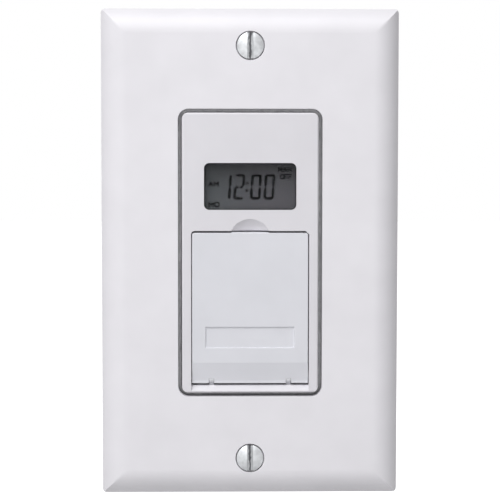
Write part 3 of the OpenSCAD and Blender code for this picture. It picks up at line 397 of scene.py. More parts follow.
def make_finishes():
    """Every finish by the record's slot name, and the three inks."""
    return {
        "plate_white": plastic("plate_white_gloss", colour_of("plate"), 0.40, 0.46, 0.5, 0.0015),
        "bezel_white": plastic("bezel_white_matte", colour_of("bezel"), 0.42, 0.50, 0.22, 0.004),
        "door_white": plastic("door_white_matte", colour_of("door"), 0.42, 0.50, 0.22, 0.004),
        "inner_white": plastic("inner_white_matte", colour_of("inner"), 0.45, 0.55, 0.25, 0.004),
        "key_grey": plastic("key_grey_satin", colour_of("keys"), 0.40, 0.50, 0.2, 0.003),
        "lens_clear": clear_lens(),
        "lcd_glass": display_grey(),
        "zinc_steel": metal("strap_zinc", colour_of("zinc"), 0.34, 0.5, (1.0, 1.0, 6.0)),
        "screw_steel": slotted_plating(),
        "earth_green": metal("earth_screw_green", (0.03, 0.26, 0.08), 0.3, 0.42, (1, 1, 3.0)),
        "pin_steel": metal("hinge_pin_steel", (0.55, 0.55, 0.55), 0.2, 0.3, (8.0, 1.0, 1.0)),
        "rubber_grey": striped_rubber(),
        "switch_black": plastic("switch_nylon", (0.022, 0.022, 0.024), 0.4, 0.55),
        "reset_red": plastic("reset_plastic", (0.42, 0.035, 0.025), 0.35, 0.45),
        "board_green": board_mask(),
        "chip_black": plastic("chip_epoxy", (0.018, 0.018, 0.02), 0.5, 0.65),
        "can_silver": metal("crystal_can", (0.60, 0.60, 0.61), 0.18, 0.3, (3.0, 1.0, 1.0)),
        "cell_wrap": plastic("cell_jacket", (0.40, 0.29, 0.07), 0.2, 0.3, 1.5, 0.01),
        "contact_gold": metal("contact_plating", (0.60, 0.45, 0.18), 0.22, 0.35, (1, 3.0, 1)),
        "copper_wire": winding(),
        "relay_steel": metal("relay_iron", (0.40, 0.40, 0.41), 0.25, 0.4, (1.0, 4.0, 1.0)),
        "relay_blue": plastic("relay_cover_blue", (0.03, 0.10, 0.32), 0.25, 0.35),
        "film_red": plastic("film_capacitor_red", (0.33, 0.04, 0.025), 0.2, 0.3, 1.0, 0.01),
        "sleeve_dark": plastic("capacitor_sleeve", (0.02, 0.024, 0.06), 0.25, 0.35),
        "varistor_blue": plastic("varistor_lacquer", (0.03, 0.12, 0.40), 0.25, 0.4, 1.2, 0.02),
        "housing_grey": plastic("case_dark_grey", colour_of("case"), 0.45, 0.6, 0.3, 0.012),
        "ink_black": display_ink(),
        "ink_grey": plastic("legend_ink", (0.06, 0.06, 0.065), 0.5, 0.65),
        "ink_white": plastic("legend_white", (0.72, 0.72, 0.72), 0.5, 0.6),
    }


FINISH = {}


# Building blocks.


def new_piece(name, data):
    """A new object at the origin that holds a mesh, a lamp or a camera."""
    piece = bpy.data.objects.new(name, data)
    bpy.context.scene.collection.objects.link(piece)
    return piece


def place(piece, body, slot, *nodes, finish=None):
    """Gives a finished piece its material, by its slot unless a finish is named, and its body, and
    hides the nodes it stands for.
    """
    if not piece.data.materials:
        piece.data.materials.append(FINISH[finish or slot])
    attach(piece, body)
    if nodes:
        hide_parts(*nodes)
    return piece


def middle_of(node):
    """The middle of a node's box."""
    low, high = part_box(node)
    return (low + high) / 2


def frozen(piece):
    """Turns what the piece's modifiers make into its plain mesh and removes the modifiers."""
    graph = bpy.context.evaluated_depsgraph_get()
    made = bpy.data.meshes.new_from_object(piece.evaluated_get(graph), depsgraph=graph)
    old = piece.data
    piece.modifiers.clear()
    piece.data = made
    bpy.data.meshes.remove(old)
    return piece


def shade(piece, angle=34.0):
    """Smooth shading with sharp edges above an angle, weighted by face area."""
    piece.data.polygons.foreach_set("use_smooth", [True] * len(piece.data.polygons))
    piece.data.set_sharp_from_angle(angle=math.radians(angle))
    weigh = piece.modifiers.new("weigh", "WEIGHTED_NORMAL")
    weigh.keep_sharp = True
    weigh.weight = 60
    return frozen(piece)


def rounded(piece, width, where=None, angle=32.0, segments=2):
    """Rounds the piece's sharp edges, or those of them that a test picks."""
    shape = bmesh.new()
    shape.from_mesh(piece.data)
    limit = math.radians(angle)
    edges = [e for e in shape.edges
             if e.is_manifold and e.calc_face_angle(0.0) > limit and (where is None or where(e))]
    if edges:
        bmesh.ops.bevel(shape, geom=edges, offset=width, offset_type="OFFSET",
                        segments=segments, profile=0.5, affect="EDGES", clamp_overlap=True)
        bmesh.ops.dissolve_degenerate(shape, edges=shape.edges, dist=MERGE / 2)
    shape.to_mesh(piece.data)
    shape.free()
    return piece


def carve(piece, mesh, spot=(0.0, 0.0, 0.0)):
    """Cuts a mesh, moved to a spot, out of a piece."""
    cutter = new_piece(mesh.name, mesh)
    cutter.location = spot
    cut = piece.modifiers.new("cut", "BOOLEAN")
    cut.operation = "DIFFERENCE"
    cut.solver = "EXACT"
    cut.object = cutter
    frozen(piece)
    bpy.data.objects.remove(cutter)
    return piece


def merged_copy(name, node):
    """A copy of a node's mesh with its loose triangles merged into whole faces."""
    shape = bmesh.new()
    shape.from_mesh(NODES[node].data)
    bmesh.ops.remove_doubles(shape, verts=shape.verts, dist=MERGE)
    bmesh.ops.dissolve_limit(shape, angle_limit=FLAT, verts=shape.verts, edges=shape.edges)
    mesh = bpy.data.meshes.new(name)
    shape.to_mesh(mesh)
    shape.free()
    return new_piece(name, mesh)


def softened(name, node, width, segments=2):
    """A merged copy of a node's mesh with its sharp edges rounded."""
    return shade(rounded(merged_copy(name, node), width, segments=segments))


def rounded_outline(wide, high, radius, steps=8):
    """Points round a rectangle with round corners, anticlockwise as seen from the room."""
    points = []
    for i, (sx, sz) in enumerate(((1, 1), (-1, 1), (-1, -1), (1, -1))):
        for k in range(steps + 1):
            angle = (i + k / steps) * math.pi / 2
            points.append((sx * (wide / 2 - radius) + radius * math.cos(angle),
                           sz * (high / 2 - radius) + radius * math.sin(angle)))
    return points


def add_rings(shape, rings, closed=False):
    """Skins a stack of rings of points, with a cap on each end, or closed back to its start."""
    stack = [[shape.verts.new(point) for point in ring] for ring in rings]
    count = len(stack[0])
    for one, two in zip(stack, stack[1:] + stack[:1] if closed else stack[1:]):
        for i in range(count):
            j = (i + 1) % count
            shape.faces.new((one[i], one[j], two[j], two[i]))
    if not closed:
        shape.faces.new(stack[0][::-1])
        shape.faces.new(stack[-1])
    return [vert for ring in stack for vert in ring]


def add_slab(shape, outline, front, back):
    """A flat slab of an outline between two levels along Y."""
    return add_rings(shape, [[(x, y, z) for x, z in outline] for y in (back, front)])


def add_turned(shape, profile, x, z, sides=48, closed=False):
    """A turned solid about Y from its (radius, level) profile, a closed profile leaving a bore."""
    turns = [2 * math.pi * i / sides for i in range(sides)]
    return add_rings(shape, [[(x + r * math.cos(a), y, z + r * math.sin(a)) for a in turns]
                             for r, y in profile], closed)


def mesh_of(name, shape):
    """Ends a shape that is being built: faces outward, kept as a mesh."""
    bmesh.ops.recalc_face_normals(shape, faces=shape.faces)
    mesh = bpy.data.meshes.new(name)
    shape.to_mesh(mesh)
    shape.free()
    return mesh


def turned(name, profile, centre, axis="Y"):
    """A turned piece about an axis along Y or X through a centre: (radius, level) profile."""
    shape = bmesh.new()
    verts = add_turned(shape, profile, 0.0, 0.0)
    if axis == "X":
        bmesh.ops.rotate(shape, verts=verts, matrix=Matrix.Rotation(-math.pi / 2, 3, "Z"))
    bmesh.ops.translate(shape, verts=verts, vec=centre)
    return shade(new_piece(name, mesh_of(name, shape)))


def stacked(name, node, radius, levels):
    """A stack of rounded rectangles inside a node's box: (inset from its sides, level along Y)."""
    low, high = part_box(node)
    middle = middle_of(node)
    rings = []
    for inset, level in levels:
        outline = rounded_outline(high.x - low.x - 2 * inset, high.z - low.z - 2 * inset,
                                  radius - min(inset, radius / 2))
        rings.append([(middle.x + u, level, middle.z + w) for u, w in outline])
    shape = bmesh.new()
    add_rings(shape, rings)
    return shade(new_piece(name, mesh_of(name, shape)))


LETTER_PROUD = 0.02 * MM
LETTER_COLUMNS, LETTER_ROWS, LETTER_SPACE = 4, 8, 1.5
LETTER_OVERLAP, LETTER_TAPER = 0.8, 0.35
# Each letter's strokes: a pair of figures is a column and a row, a comma lifts the pen.
LETTERS = {
    "A": "00 28 40, 13 33", "D": "00 08 28 46 42 20 00", "E": "40 00 08 48, 04 34",
    "F": "00 08 48, 04 34", "M": "00 08 23 48 40", "N": "00 08 40 48",
    "O": "10 30 42 46 38 18 06 02 10", "R": "00 08 38 47 45 34 04, 24 40",
    "S": "01 10 30 41 43 34 14 05 07 18 38 47", "T": "08 48, 20 28", "/": "00 48",
    "+": "04 44, 22 26", "-": "04 44",
}


def lettered(name, words, stroke, finish):
    """Flat raised words: (text, middle X, middle Z, level along Y, letter height, word width)."""
    places, turns, runs = [], [], []
    for text, x, z, level, high, wide in words:
        step = LETTER_COLUMNS + LETTER_SPACE
        column = (wide - stroke) / (len(text) * step - LETTER_SPACE)
        row = (high - stroke) / LETTER_ROWS
        for i, letter in enumerate(text):
            left = x - (wide - stroke) / 2 + i * step * column
            for line in LETTERS[letter].split(","):
                points = [Vector((left + int(u) * column, 0.0, z + (int(w) - LETTER_ROWS / 2) * row))
                          for u, w in line.split()]
                for one, two in zip(points, points[1:]):
                    along = two - one
                    places.append((one + two) / 2 + Vector((0.0, level - LETTER_PROUD / 2, 0.0)))
                    turns.append(math.atan2(along.z, along.x))
                    runs.append(along.length + LETTER_OVERLAP * stroke)
    return segment_tree().grow(
        name, points_mesh(name, places, turn=turns, run=runs), Stroke=stroke, Gap=0.0,
        Taper=LETTER_TAPER, Thickness=LETTER_PROUD, Slant=0.0, Middle_height=0.0, Finish=finish)


# Geometry Nodes.


class Tree(Nodes):
    """One geometry tree with named inputs for its sizes and one for its finish."""

    def __init__(self, name, *entries):
        super().__init__(bpy.data.node_groups.new(name, "GeometryNodeTree"))
        for way in ("INPUT", "OUTPUT"):
            self.tree.interface.new_socket("Geometry", in_out=way, socket_type="NodeSocketGeometry")
        self.start = self.tree.nodes.new("NodeGroupInput")
        self.end = self.tree.nodes.new("NodeGroupOutput")
        self.ids = {}
        self.sizes = [self.entry(entry) for entry in entries]
        self.finish = self.entry("Finish", "NodeSocketMaterial")

    def entry(self, name, kind="NodeSocketFloat"):
        """A named input of the tree."""
        socket = self.tree.interface.new_socket(name, in_out="INPUT", socket_type=kind)
        self.ids[name] = socket.identifier
        return Number(self, self.start.outputs[name])

    def made(self, kind, feeds=None, **settings):
        """What a geometry node makes."""
        return self.add("GeometryNode" + kind, feeds, **settings).outputs[0]

    def value(self, name, kind="FLOAT"):
        """An attribute of the points by its name."""
        return self.number("GeometryNodeInputNamedAttribute", "Attribute", {"Name": name},
                           data_type=kind)

    def keep(self, shape, name, value, kind="FLOAT"):
        """Stores a value on the points under a name."""
        return self.made("StoreNamedAttribute", {"Geometry": shape, "Name": name, "Value": value},
                         data_type=kind, domain="POINT")

    def vector(self, x, y, z):
        """A vector from three numbers."""
        return self.add("ShaderNodeCombineXYZ", {0: x, 1: y, 2: z}).outputs[0]

    def spot(self):
        """X, Y and Z of each point."""
        return self.parts(self.made("InputPosition"))

    def clamped(self, value):
        """A value kept between 0 and 1."""
        return self.number("ShaderNodeClamp", 0, {"Value": value})

    def moved(self, shape, **ways):
        """Moves each point by an Offset or to a Position."""
        return self.made("SetPosition", {"Geometry": shape, **ways})

    def carve(self, operation, first, second):
        """A Boolean of two shapes."""
        feeds = {"Mesh 2": [first, second]}
        if operation == "DIFFERENCE":
            feeds = {"Mesh 1": first, "Mesh 2": second}
        return self.made("MeshBoolean", feeds, operation=operation, solver="EXACT")

    def joined(self, *shapes):
        """Joins shapes into one and merges the points where they meet."""
        return self.made("MergeByDistance", {
            "Geometry": self.made("JoinGeometry", {0: list(shapes)}), "Distance": MERGE})

    def copies(self, shape, turn):
        """A turned copy of a shape on each point."""
        return self.made("InstanceOnPoints", {
            "Points": self.start.outputs["Geometry"], "Instance": shape, "Rotation": turn})

    def ended(self, shape):
        """Ends the tree: copies are made real and get the finish."""
        real = self.made("RealizeInstances", {0: shape})
        done = self.made("SetMaterial", {"Geometry": real, "Material": self.finish})
        self.tree.links.new(done, self.end.inputs[0])
        return self

    def grow(self, name, mesh, **values):
        """Runs the tree on a mesh and keeps the plain result; inputs are named with underscores."""
        piece = new_piece(name, mesh)
        modifier = piece.modifiers.new("grow", "NODES")
        modifier.node_group = self.tree
        for key, value in values.items():
            modifier[self.ids[key.replace("_", " ")]] = value
        frozen(piece)
        finish = piece.data.materials[-1]
        piece.data.materials.clear()
        piece.data.materials.append(finish)
        piece.data.polygons.foreach_set("material_index", [0] * len(piece.data.polygons))
        return piece


def points_mesh(name, places, **attributes):
    """A mesh of loose points with float attributes."""
    mesh = bpy.data.meshes.new(name)
    mesh.from_pydata([tuple(p) for p in places], [], [])
    for key, values in attributes.items():
        layer = mesh.attributes.new(key, "FLOAT", "POINT")
        layer.data.foreach_set("value", values)
    return mesh


FORM, CORE, ADDED, CUT, BOUND = range(5)


def plate_tree():
    """The wall plate: a border that curves back by rule, a hollow, ribs, bosses and holes."""
    tree = Tree("curved_border", "Half width", "Half height", "Border width", "Arc radius", "Wall",
                "Face level")
    half_w, half_h, border, arc, wall, face = tree.sizes
    part, flat = tree.value("part"), tree.value("flat")

    def is_part(number):
        return tree.math("COMPARE", part, float(number))

    x, y, z = tree.spot()
    inset = tree.math("MINIMUM", half_w - abs(x), half_h - abs(z))
    short = tree.math("MAXIMUM", border - inset, 0.0)
    reach = arc - wall * is_part(CORE)
    rise = tree.math("SQRT", reach ** 2 - short ** 2)
    level = y * flat + (face + arc - rise) * (1.0 - flat)
    bent = tree.moved(tree.start.outputs["Geometry"], Position=tree.vector(x, level, z))

    def only(number):
        return tree.made("SeparateGeometry", {"Geometry": bent, "Selection": is_part(number)},
                         domain="POINT")

    shell = tree.carve("INTERSECT", only(FORM), only(BOUND))
    shell = tree.carve("DIFFERENCE", shell, only(CORE))
    shell = tree.carve("UNION", shell, only(ADDED))
    shell = tree.carve("DIFFERENCE", shell, only(CUT))
    return tree.ended(shell)


SCREW_SIDES, DOME_STEPS = 48, 10
# how far into the slot the painted shade fades in, and how deep it reaches, as shares of the slot's
# depth
SLOT_SHADE_DEPTH, SLOT_SHADE_REACH = 0.06, 1.05


def screw_tree():
    """A driven screw on each point, its head towards the room."""
    tree = Tree("driven_screw", "Head radius", "Dome", "Head side", "Cone", "Neck radius",
                "Neck length", "Shank radius", "Shank length", "Foot radius", "Tip length", "Pitch",
                "Thread depth", "Slot width", "Slot depth", "Slot length", "Cross length")
    (head, dome, side, cone, neck, neck_l, shank, long, foot, tip, pitch, depth, slot_w, slot_d,
     slot_l, cross_l) = tree.sizes
    rings = tree.entry("Rings", "NodeSocketInt")

    def lathe(bottom, top, deep, level, steps=1):
        shape = tree.made("MeshCone", {
            "Vertices": SCREW_SIDES, "Side Segments": steps, "Radius Top": top,
            "Radius Bottom": bottom, "Depth": deep}, fill_type="NONE")
        return tree.moved(shape, Offset=tree.vector(0.0, 0.0, level))

    def dome_rise(x, y):
        ball = (head ** 2 + dome ** 2) / (dome * 2.0)
        return tree.math("SQRT", ball ** 2 - (x ** 2 + y ** 2)) - (ball - dome)

    x, y, z = tree.spot()
    cap = tree.moved(lathe(head, 0.0, dome, 0.0, DOME_STEPS),
                     Position=tree.vector(x, y, dome_rise(x, y)))
    wall = lathe(head, head, side, -side)
    seat_z = side + cone
    seat = lathe(neck, head, cone, -seat_z)
    neck_z = seat_z + neck_l
    throat = lathe(neck, neck, neck_l, -neck_z)
    step = lathe(shank, neck, 0.0, -neck_z)
    core_z = neck_z + long
    core = lathe(shank, shank, long, -core_z, rings)
    below = -z - neck_z
    angle = tree.math("ARCTAN2", y, x) / (2.0 * math.pi)
    ridge = abs(tree.math("FRACT", below / pitch - angle) * 2.0 - 1.0)
    fade = tree.clamped(tree.math("MINIMUM", below, long - below) / pitch)
    share = 1.0 - ridge * fade * depth / shank
    thread = tree.moved(core, Position=tree.vector(x * share, y * share, z))
    tip_z = core_z + tip
    point = lathe(foot, shank, tip, -tip_z)
    close = lathe(0.0, foot, 0.0, -tip_z)
    driven = tree.joined(cap, wall, seat, throat, step, thread, point, close)
    for wide, deep in ((slot_w, slot_l), (cross_l, slot_w)):
        bar = tree.made("MeshCube", {"Size": tree.vector(wide, deep, slot_d * 2.0)})
        bar = tree.moved(bar, Offset=tree.vector(0.0, 0.0, dome))
        driven = tree.carve("DIFFERENCE", driven, bar)
    x, y, z = tree.spot()
    # marks the inside of the slot for the plating's painted shade
    under = tree.clamped((dome_rise(x, y) - z) / (slot_d * SLOT_SHADE_DEPTH))
    inside = tree.math("GREATER_THAN", z, dome - slot_d * SLOT_SHADE_REACH)
    driven = tree.keep(driven, "worn", under * inside)
    return tree.ended(tree.copies(driven, tree.vector(tree.value("turn"), 0.0, 0.0)))


def segment_tree():
    """A six-sided bar on each point, as long as its run, turned by its angle, then slanted."""
    tree = Tree("display_segments", "Stroke", "Gap", "Taper", "Thickness", "Slant", "Middle height")
    stroke, gap, share, thick, slant, middle = tree.sizes
    spot = tree.made("InputPosition")
    bar = tree.made("MeshCylinder", {"Vertices": 6, "Side Segments": 1, "Fill Segments": 1,
                                     "Radius": 1.0, "Depth": thick})
    bar = tree.keep(bar, "local", spot, "FLOAT_VECTOR")
    spots = tree.keep(tree.start.outputs["Geometry"], "spot", spot, "FLOAT_VECTOR")
    copies = tree.made("InstanceOnPoints", {"Points": spots, "Instance": bar})
    real = tree.made("RealizeInstances", {0: copies})
    u, v, w = tree.parts(tree.value("local", "FLOAT_VECTOR"))
    x, y, z = tree.parts(tree.value("spot", "FLOAT_VECTOR"))
    still = tree.math("COSINE", tree.value("turn"))
    turn = tree.math("SINE", tree.value("turn"))
    half = tree.value("run") * 0.5 - gap
    taper = tree.math("MINIMUM", half, stroke * share)
    along = tree.math("SIGN", u) * (half - taper + abs(u) * taper)
    across = v * (stroke / (2 * math.sin(math.pi / 3)))
    flat_x = x + (along * still - across * turn)
    flat_z = z + (across * still + along * turn)
    lean = slant * (flat_z - middle)
    return tree.ended(tree.moved(real, Position=tree.vector(flat_x + lean, y - w, flat_z)))


ON_BACK = (-math.pi / 2, 0.0, 0.0)
JOINT_TALL, JOINT_FOOT, JOINT_WAIST = 3.0, 2.6, 0.9


def leg_tree():
    """A bent leg on each point, its foot outward by the point's angle."""
    tree = Tree("chip_legs", "Reach", "Width", "Thickness", "Shoulder")
    reach, wide, thick, shoulder = tree.sizes
    strip = tree.made("MeshCube", {"Size": tree.vector(reach, wide, thick), "Vertices X": 4})
    rise = tree.math("LESS_THAN", tree.spot()[0], 0.0) * shoulder
    bent = tree.moved(strip, Offset=tree.vector(reach * 0.5, 0.0, rise + thick * 0.5))
    return tree.ended(tree.copies(bent, tree.vector(ON_BACK[0], tree.value("turn"), 0.0)))


def joint_tree():
    """A cone of solder with the clipped end of a lead on each point, towards the wall."""
    tree = Tree("solder_joints", "Lead radius")
    lead, = tree.sizes
    tall = lead * JOINT_TALL
    cone = tree.made("MeshCone", {
        "Vertices": 20, "Side Segments": 5, "Radius Top": lead, "Depth": tall,
        "Radius Bottom": lead * JOINT_FOOT})
    x, y, z = tree.spot()
    climb = z / tall
    waist = 1.0 - climb * (1.0 - climb) * JOINT_WAIST
    fillet = tree.moved(cone, Position=tree.vector(x * waist, y * waist, z))
    return tree.ended(tree.copies(fillet, ON_BACK))


def wire_tree():
    """Close turns of wire from each point along Y."""
    tree = Tree("wire_turns", "Turns", "Radius", "Length", "Wire radius")
    turns, radius, long, wire = tree.sizes
    path = tree.made("CurveSpiral", {"Resolution": 40, "Rotations": turns, "Start Radius": radius,
                                     "End Radius": radius, "Height": long})
    round_wire = tree.made("CurvePrimitiveCircle", {"Resolution": 8, "Radius": wire})
    coil = tree.made("CurveToMesh", {"Curve": path, "Profile Curve": round_wire, "Fill Caps": True})
    return tree.ended(tree.copies(coil, ON_BACK))


# Operators.


class PieceOperator:
    """What the operators share."""

    bl_options = {"REGISTER"}


PLATE = millimetres(
    border=6.0, edge=2.2, wall=2.0, rim=1.8, corner=1.1, mitre=0.5, opening_w=33.8, opening_h=67.5,
    opening_r=2.5, seat=3.4, seat_side=0.75, seat_end=1.95, hole=2.0, boss=3.1, boss_back=-1.35,
    rib=1.2, rib_in=24.0, rib_end=1.4, rib_pitch=34.0)
BORDER_STEPS = 14


class TIMER_OT_wall_plate(PieceOperator, bpy.types.Operator):
    """Wall plate: curved border by rule, hollow back, ribs, bosses and screw seats"""

    bl_idname = "timer_switch.wall_plate"
    bl_label = "Wall plate"

    def execute(self, context):
        low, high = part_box("wall_plate")
        half_w, half_h, face = high.x, high.z, low.y
        border = PLATE["border"]
        drop = -face - PLATE["edge"]
        piece = plate_tree().grow(
            "plate_moulding", self.forms(half_w, half_h, face), Half_width=half_w,
            Half_height=half_h, Border_width=border, Wall=PLATE["wall"], Face_level=face,
            Arc_radius=(border ** 2 + drop ** 2) / (2 * drop), Finish=FINISH["plate_white"])
        rounded(piece, size_of("edge_round"),
                lambda edge: all(abs(v.co.y - face) < CLOSE for v in edge.verts))
        place(shade(piece), "switch", "plate_white", "wall_plate")
        return {"FINISHED"}

    def forms(self, half_w, half_h, face):
        """The flat forms that the tree bends and joins, marked by part."""
        shape = bmesh.new()
        part = shape.verts.layers.float.new("part")
        flat = shape.verts.layers.float.new("flat")
        border, hollow = PLATE["border"], face + PLATE["wall"]

        def mark(verts, number, bends=0):
            for i, vert in enumerate(verts):
                vert[part] = number
                vert[flat] = float(i >= bends)

        for number, start, back in ((FORM, 0.0, 0.0), (CORE, PLATE["rim"], CLEAR)):
            insets = [start + (border - start) * i / BORDER_STEPS for i in range(BORDER_STEPS + 1)]
            rings = [self.ring(half_w - d, half_h - d, face) for d in insets[::-1]]
            rings.append(self.ring(half_w - start, half_h - start, back))
            verts = add_rings(shape, rings)
            mark(verts, number, len(verts) - len(rings[0]))
        mark(add_slab(shape, rounded_outline(2 * half_w, 2 * half_h, PLATE["corner"]),
                      face - CLEAR, CLEAR), BOUND)
        for z in (PLATE_SCREW["at"], -PLATE_SCREW["at"]):
            boss = [(PLATE["boss"], hollow - LAP), (PLATE["boss"], PLATE["boss_back"])]
            mark(add_turned(shape, boss, 0.0, z), ADDED)
            seat = [(PLATE["seat"], face - CLEAR), (PLATE["seat"], face + PLATE["seat_side"]),
                    (PLATE["hole"], face + PLATE["seat_end"]), (PLATE["hole"], CLEAR)]
            mark(add_turned(shape, seat, 0.0, z), CUT)
        half = PLATE["rib"] / 2
        for side in (-1, 1):
            for row in (-1, 0, 1):
                middle = row * PLATE["rib_pitch"]
                left, right = sorted((side * PLATE["rib_in"], side * (half_w - PLATE["rib_end"])))
                outline = [(left, middle - half), (right, middle - half),
                           (right, middle + half), (left, middle + half)]
                mark(add_slab(shape, outline, hollow - LAP, -LAP), ADDED)
        opening = rounded_outline(PLATE["opening_w"], PLATE["opening_h"], PLATE["opening_r"])
        mark(add_slab(shape, opening, face - CLEAR, CLEAR), CUT)
        return mesh_of("plate_forms", shape)

    def ring(self, half_w, half_h, level):
        """A rectangle with a point close to each side of every corner, which keeps mitres crisp."""
        near = PLATE["mitre"]
        corners = [(half_w, half_h), (-half_w, half_h), (-half_w, -half_h), (half_w, -half_h)]
        ways = [(0, 1), (-1, 0), (0, -1), (1, 0)]
        points = []
        for i, (x, z) in enumerate(corners):
            arrive, leave = ways[i], ways[(i + 1) % 4]
            points += [(x - near * arrive[0], level, z - near * arrive[1]), (x, level, z),
                       (x + near * leave[0], level, z + near * leave[1])]
        return points


SCOOP = millimetres(radius=4.94, depth=1.7, height=3.16)
BALL_SIDES, RECESS_STEPS = 192, 5
DOOR_ROOM = 0.5 * MM  # the gap round the door is narrower than this
BEZEL_FRONT = -2.0 * MM  # edges nearer the room than this are rounded


class TIMER_OT_bezel(PieceOperator, bpy.types.Operator):
    """Bezel with its window, recess, finger scoop and sill"""

    bl_idname = "timer_switch.bezel"
    bl_label = "Bezel"

    def execute(self, context):
        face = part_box("front_housing")[0].y
        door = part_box("door")[1]
        radius, depth, middle = [SCOOP[key] for key in ("radius", "depth", "height")]
        piece = merged_copy("bezel_moulding", "front_housing")

        def at_corner(edge):
            one, two = (v.co for v in edge.verts)
            upright = abs(one.x - two.x) + abs(one.z - two.z) < CLOSE
            return (upright and 0.0 < abs(one.x) - door.x < DOOR_ROOM
                    and 0.0 < one.z - door.z < DOOR_ROOM)

        def on_front(edge):
            in_scoop = all(math.hypot(v.co.x, v.co.z - middle) < radius for v in edge.verts)
            return not in_scoop and max(v.co.y for v in edge.verts) < BEZEL_FRONT

        rounded(piece, size_of("door_corner") + DOOR_ROOM / 2, at_corner, segments=RECESS_STEPS)
        rounded(piece, size_of("edge_round"), on_front)
        ball = (radius ** 2 + depth ** 2) / (2 * depth)
        shape = bmesh.new()
        bmesh.ops.create_uvsphere(shape, u_segments=BALL_SIDES, v_segments=BALL_SIDES // 2,
                                  radius=ball)
        carve(piece, mesh_of("scoop_ball", shape), (0.0, face + depth - ball, middle))
        place(shade(piece), "switch", "bezel_white", "front_housing")
        return {"FINISHED"}


DOOR_PANEL = millimetres(wide=20.7, tall=4.75, height=-19.8, draft=0.24, lip=0.18)
CORNER_STEPS = 6


def hinge():
    """The middle of the door's pin and the radius of the barrel round it."""
    pin = middle_of("hinge_pin")
    return pin, pin.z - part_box("door")[0].z


class TIMER_OT_door(PieceOperator, bpy.types.Operator):
    """Door with its bare panel, crease, lip and hinge barrel"""

    bl_idname = "timer_switch.door"
    bl_label = "Door"

    def execute(self, context):
        low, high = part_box("door")
        piece = merged_copy("door_moulding", "door")

        def on_panel_rim(edge):
            return all(abs(v.co.y - low.y) < CLOSE
                       and abs(v.co.x) < DOOR_PANEL["wide"] / 2 + CLOSE
                       and abs(v.co.z - DOOR_PANEL["height"]) < DOOR_PANEL["tall"] / 2 + CLOSE
                       for v in edge.verts)

        self.square_foot(piece)
        rounded(piece, DOOR_PANEL["draft"], on_panel_rim)
        rounded(piece, size_of("edge_round") / 2, lambda edge: not on_panel_rim(edge))
        carve(piece, self.corners(low, high))
        place(shade(piece), "door", "door_white", "door")
        return {"FINISHED"}

    def square_foot(self, piece):
        """Brings the barrel's lower front out to a corner, so that the door's face ends in an edge."""
        pin, barrel = hinge()
        for vert in piece.data.vertices:
            y, z = vert.co.y - pin.y, vert.co.z - pin.z
            if max(y, z) < 0.0 and abs(math.hypot(y, z) - barrel) < CLOSE:
                grow = -barrel / min(y, z)
                vert.co.y = pin.y + y * grow
                vert.co.z = pin.z + z * grow

    def corners(self, low, high):
        """What the round upper corners leave out of the door."""
        radius = size_of("door_corner")
        x, z = high.x - radius, high.z - DOOR_PANEL["lip"] - radius
        turns = [math.pi / 2 * i / CORNER_STEPS for i in range(CORNER_STEPS + 1)]
        arc = [(x + radius * math.cos(a), z + radius * math.sin(a)) for a in turns]
        outline = arc + [(x, high.z + CLEAR), (high.x + CLEAR, high.z + CLEAR), (high.x + CLEAR, z)]
        shape = bmesh.new()
        for side in (-1, 1):
            add_slab(shape, [(side * u, w) for u, w in outline], low.y - CLEAR, high.y + CLEAR)
        return mesh_of("corner_cuts", shape)


LENS_ROUND = 0.3 * MM
FIGURE = millimetres(middle=15.5, gap=0.08, colon_rise=0.83, colon_dot=1.0)
SEGMENT_OVERLAP = 0.35
# Each figure's middle across in millimetres, and its lit segments.
FIGURES = ((-5.66, "bc"), (-2.52, "abged"), (-0.66, ":"), (1.36, "abcdef"), (4.53, "abcdef"))
# Each word, its middle across and up, and its width, in millimetres.
DISPLAY_WORDS = (("AM", -8.58, 16.18, 2.5), ("MO", -8.46, 11.36, 2.65),
                 ("MAN", 8.18, 19.54, 3.3), ("OFF", 8.48, 17.89, 2.9))


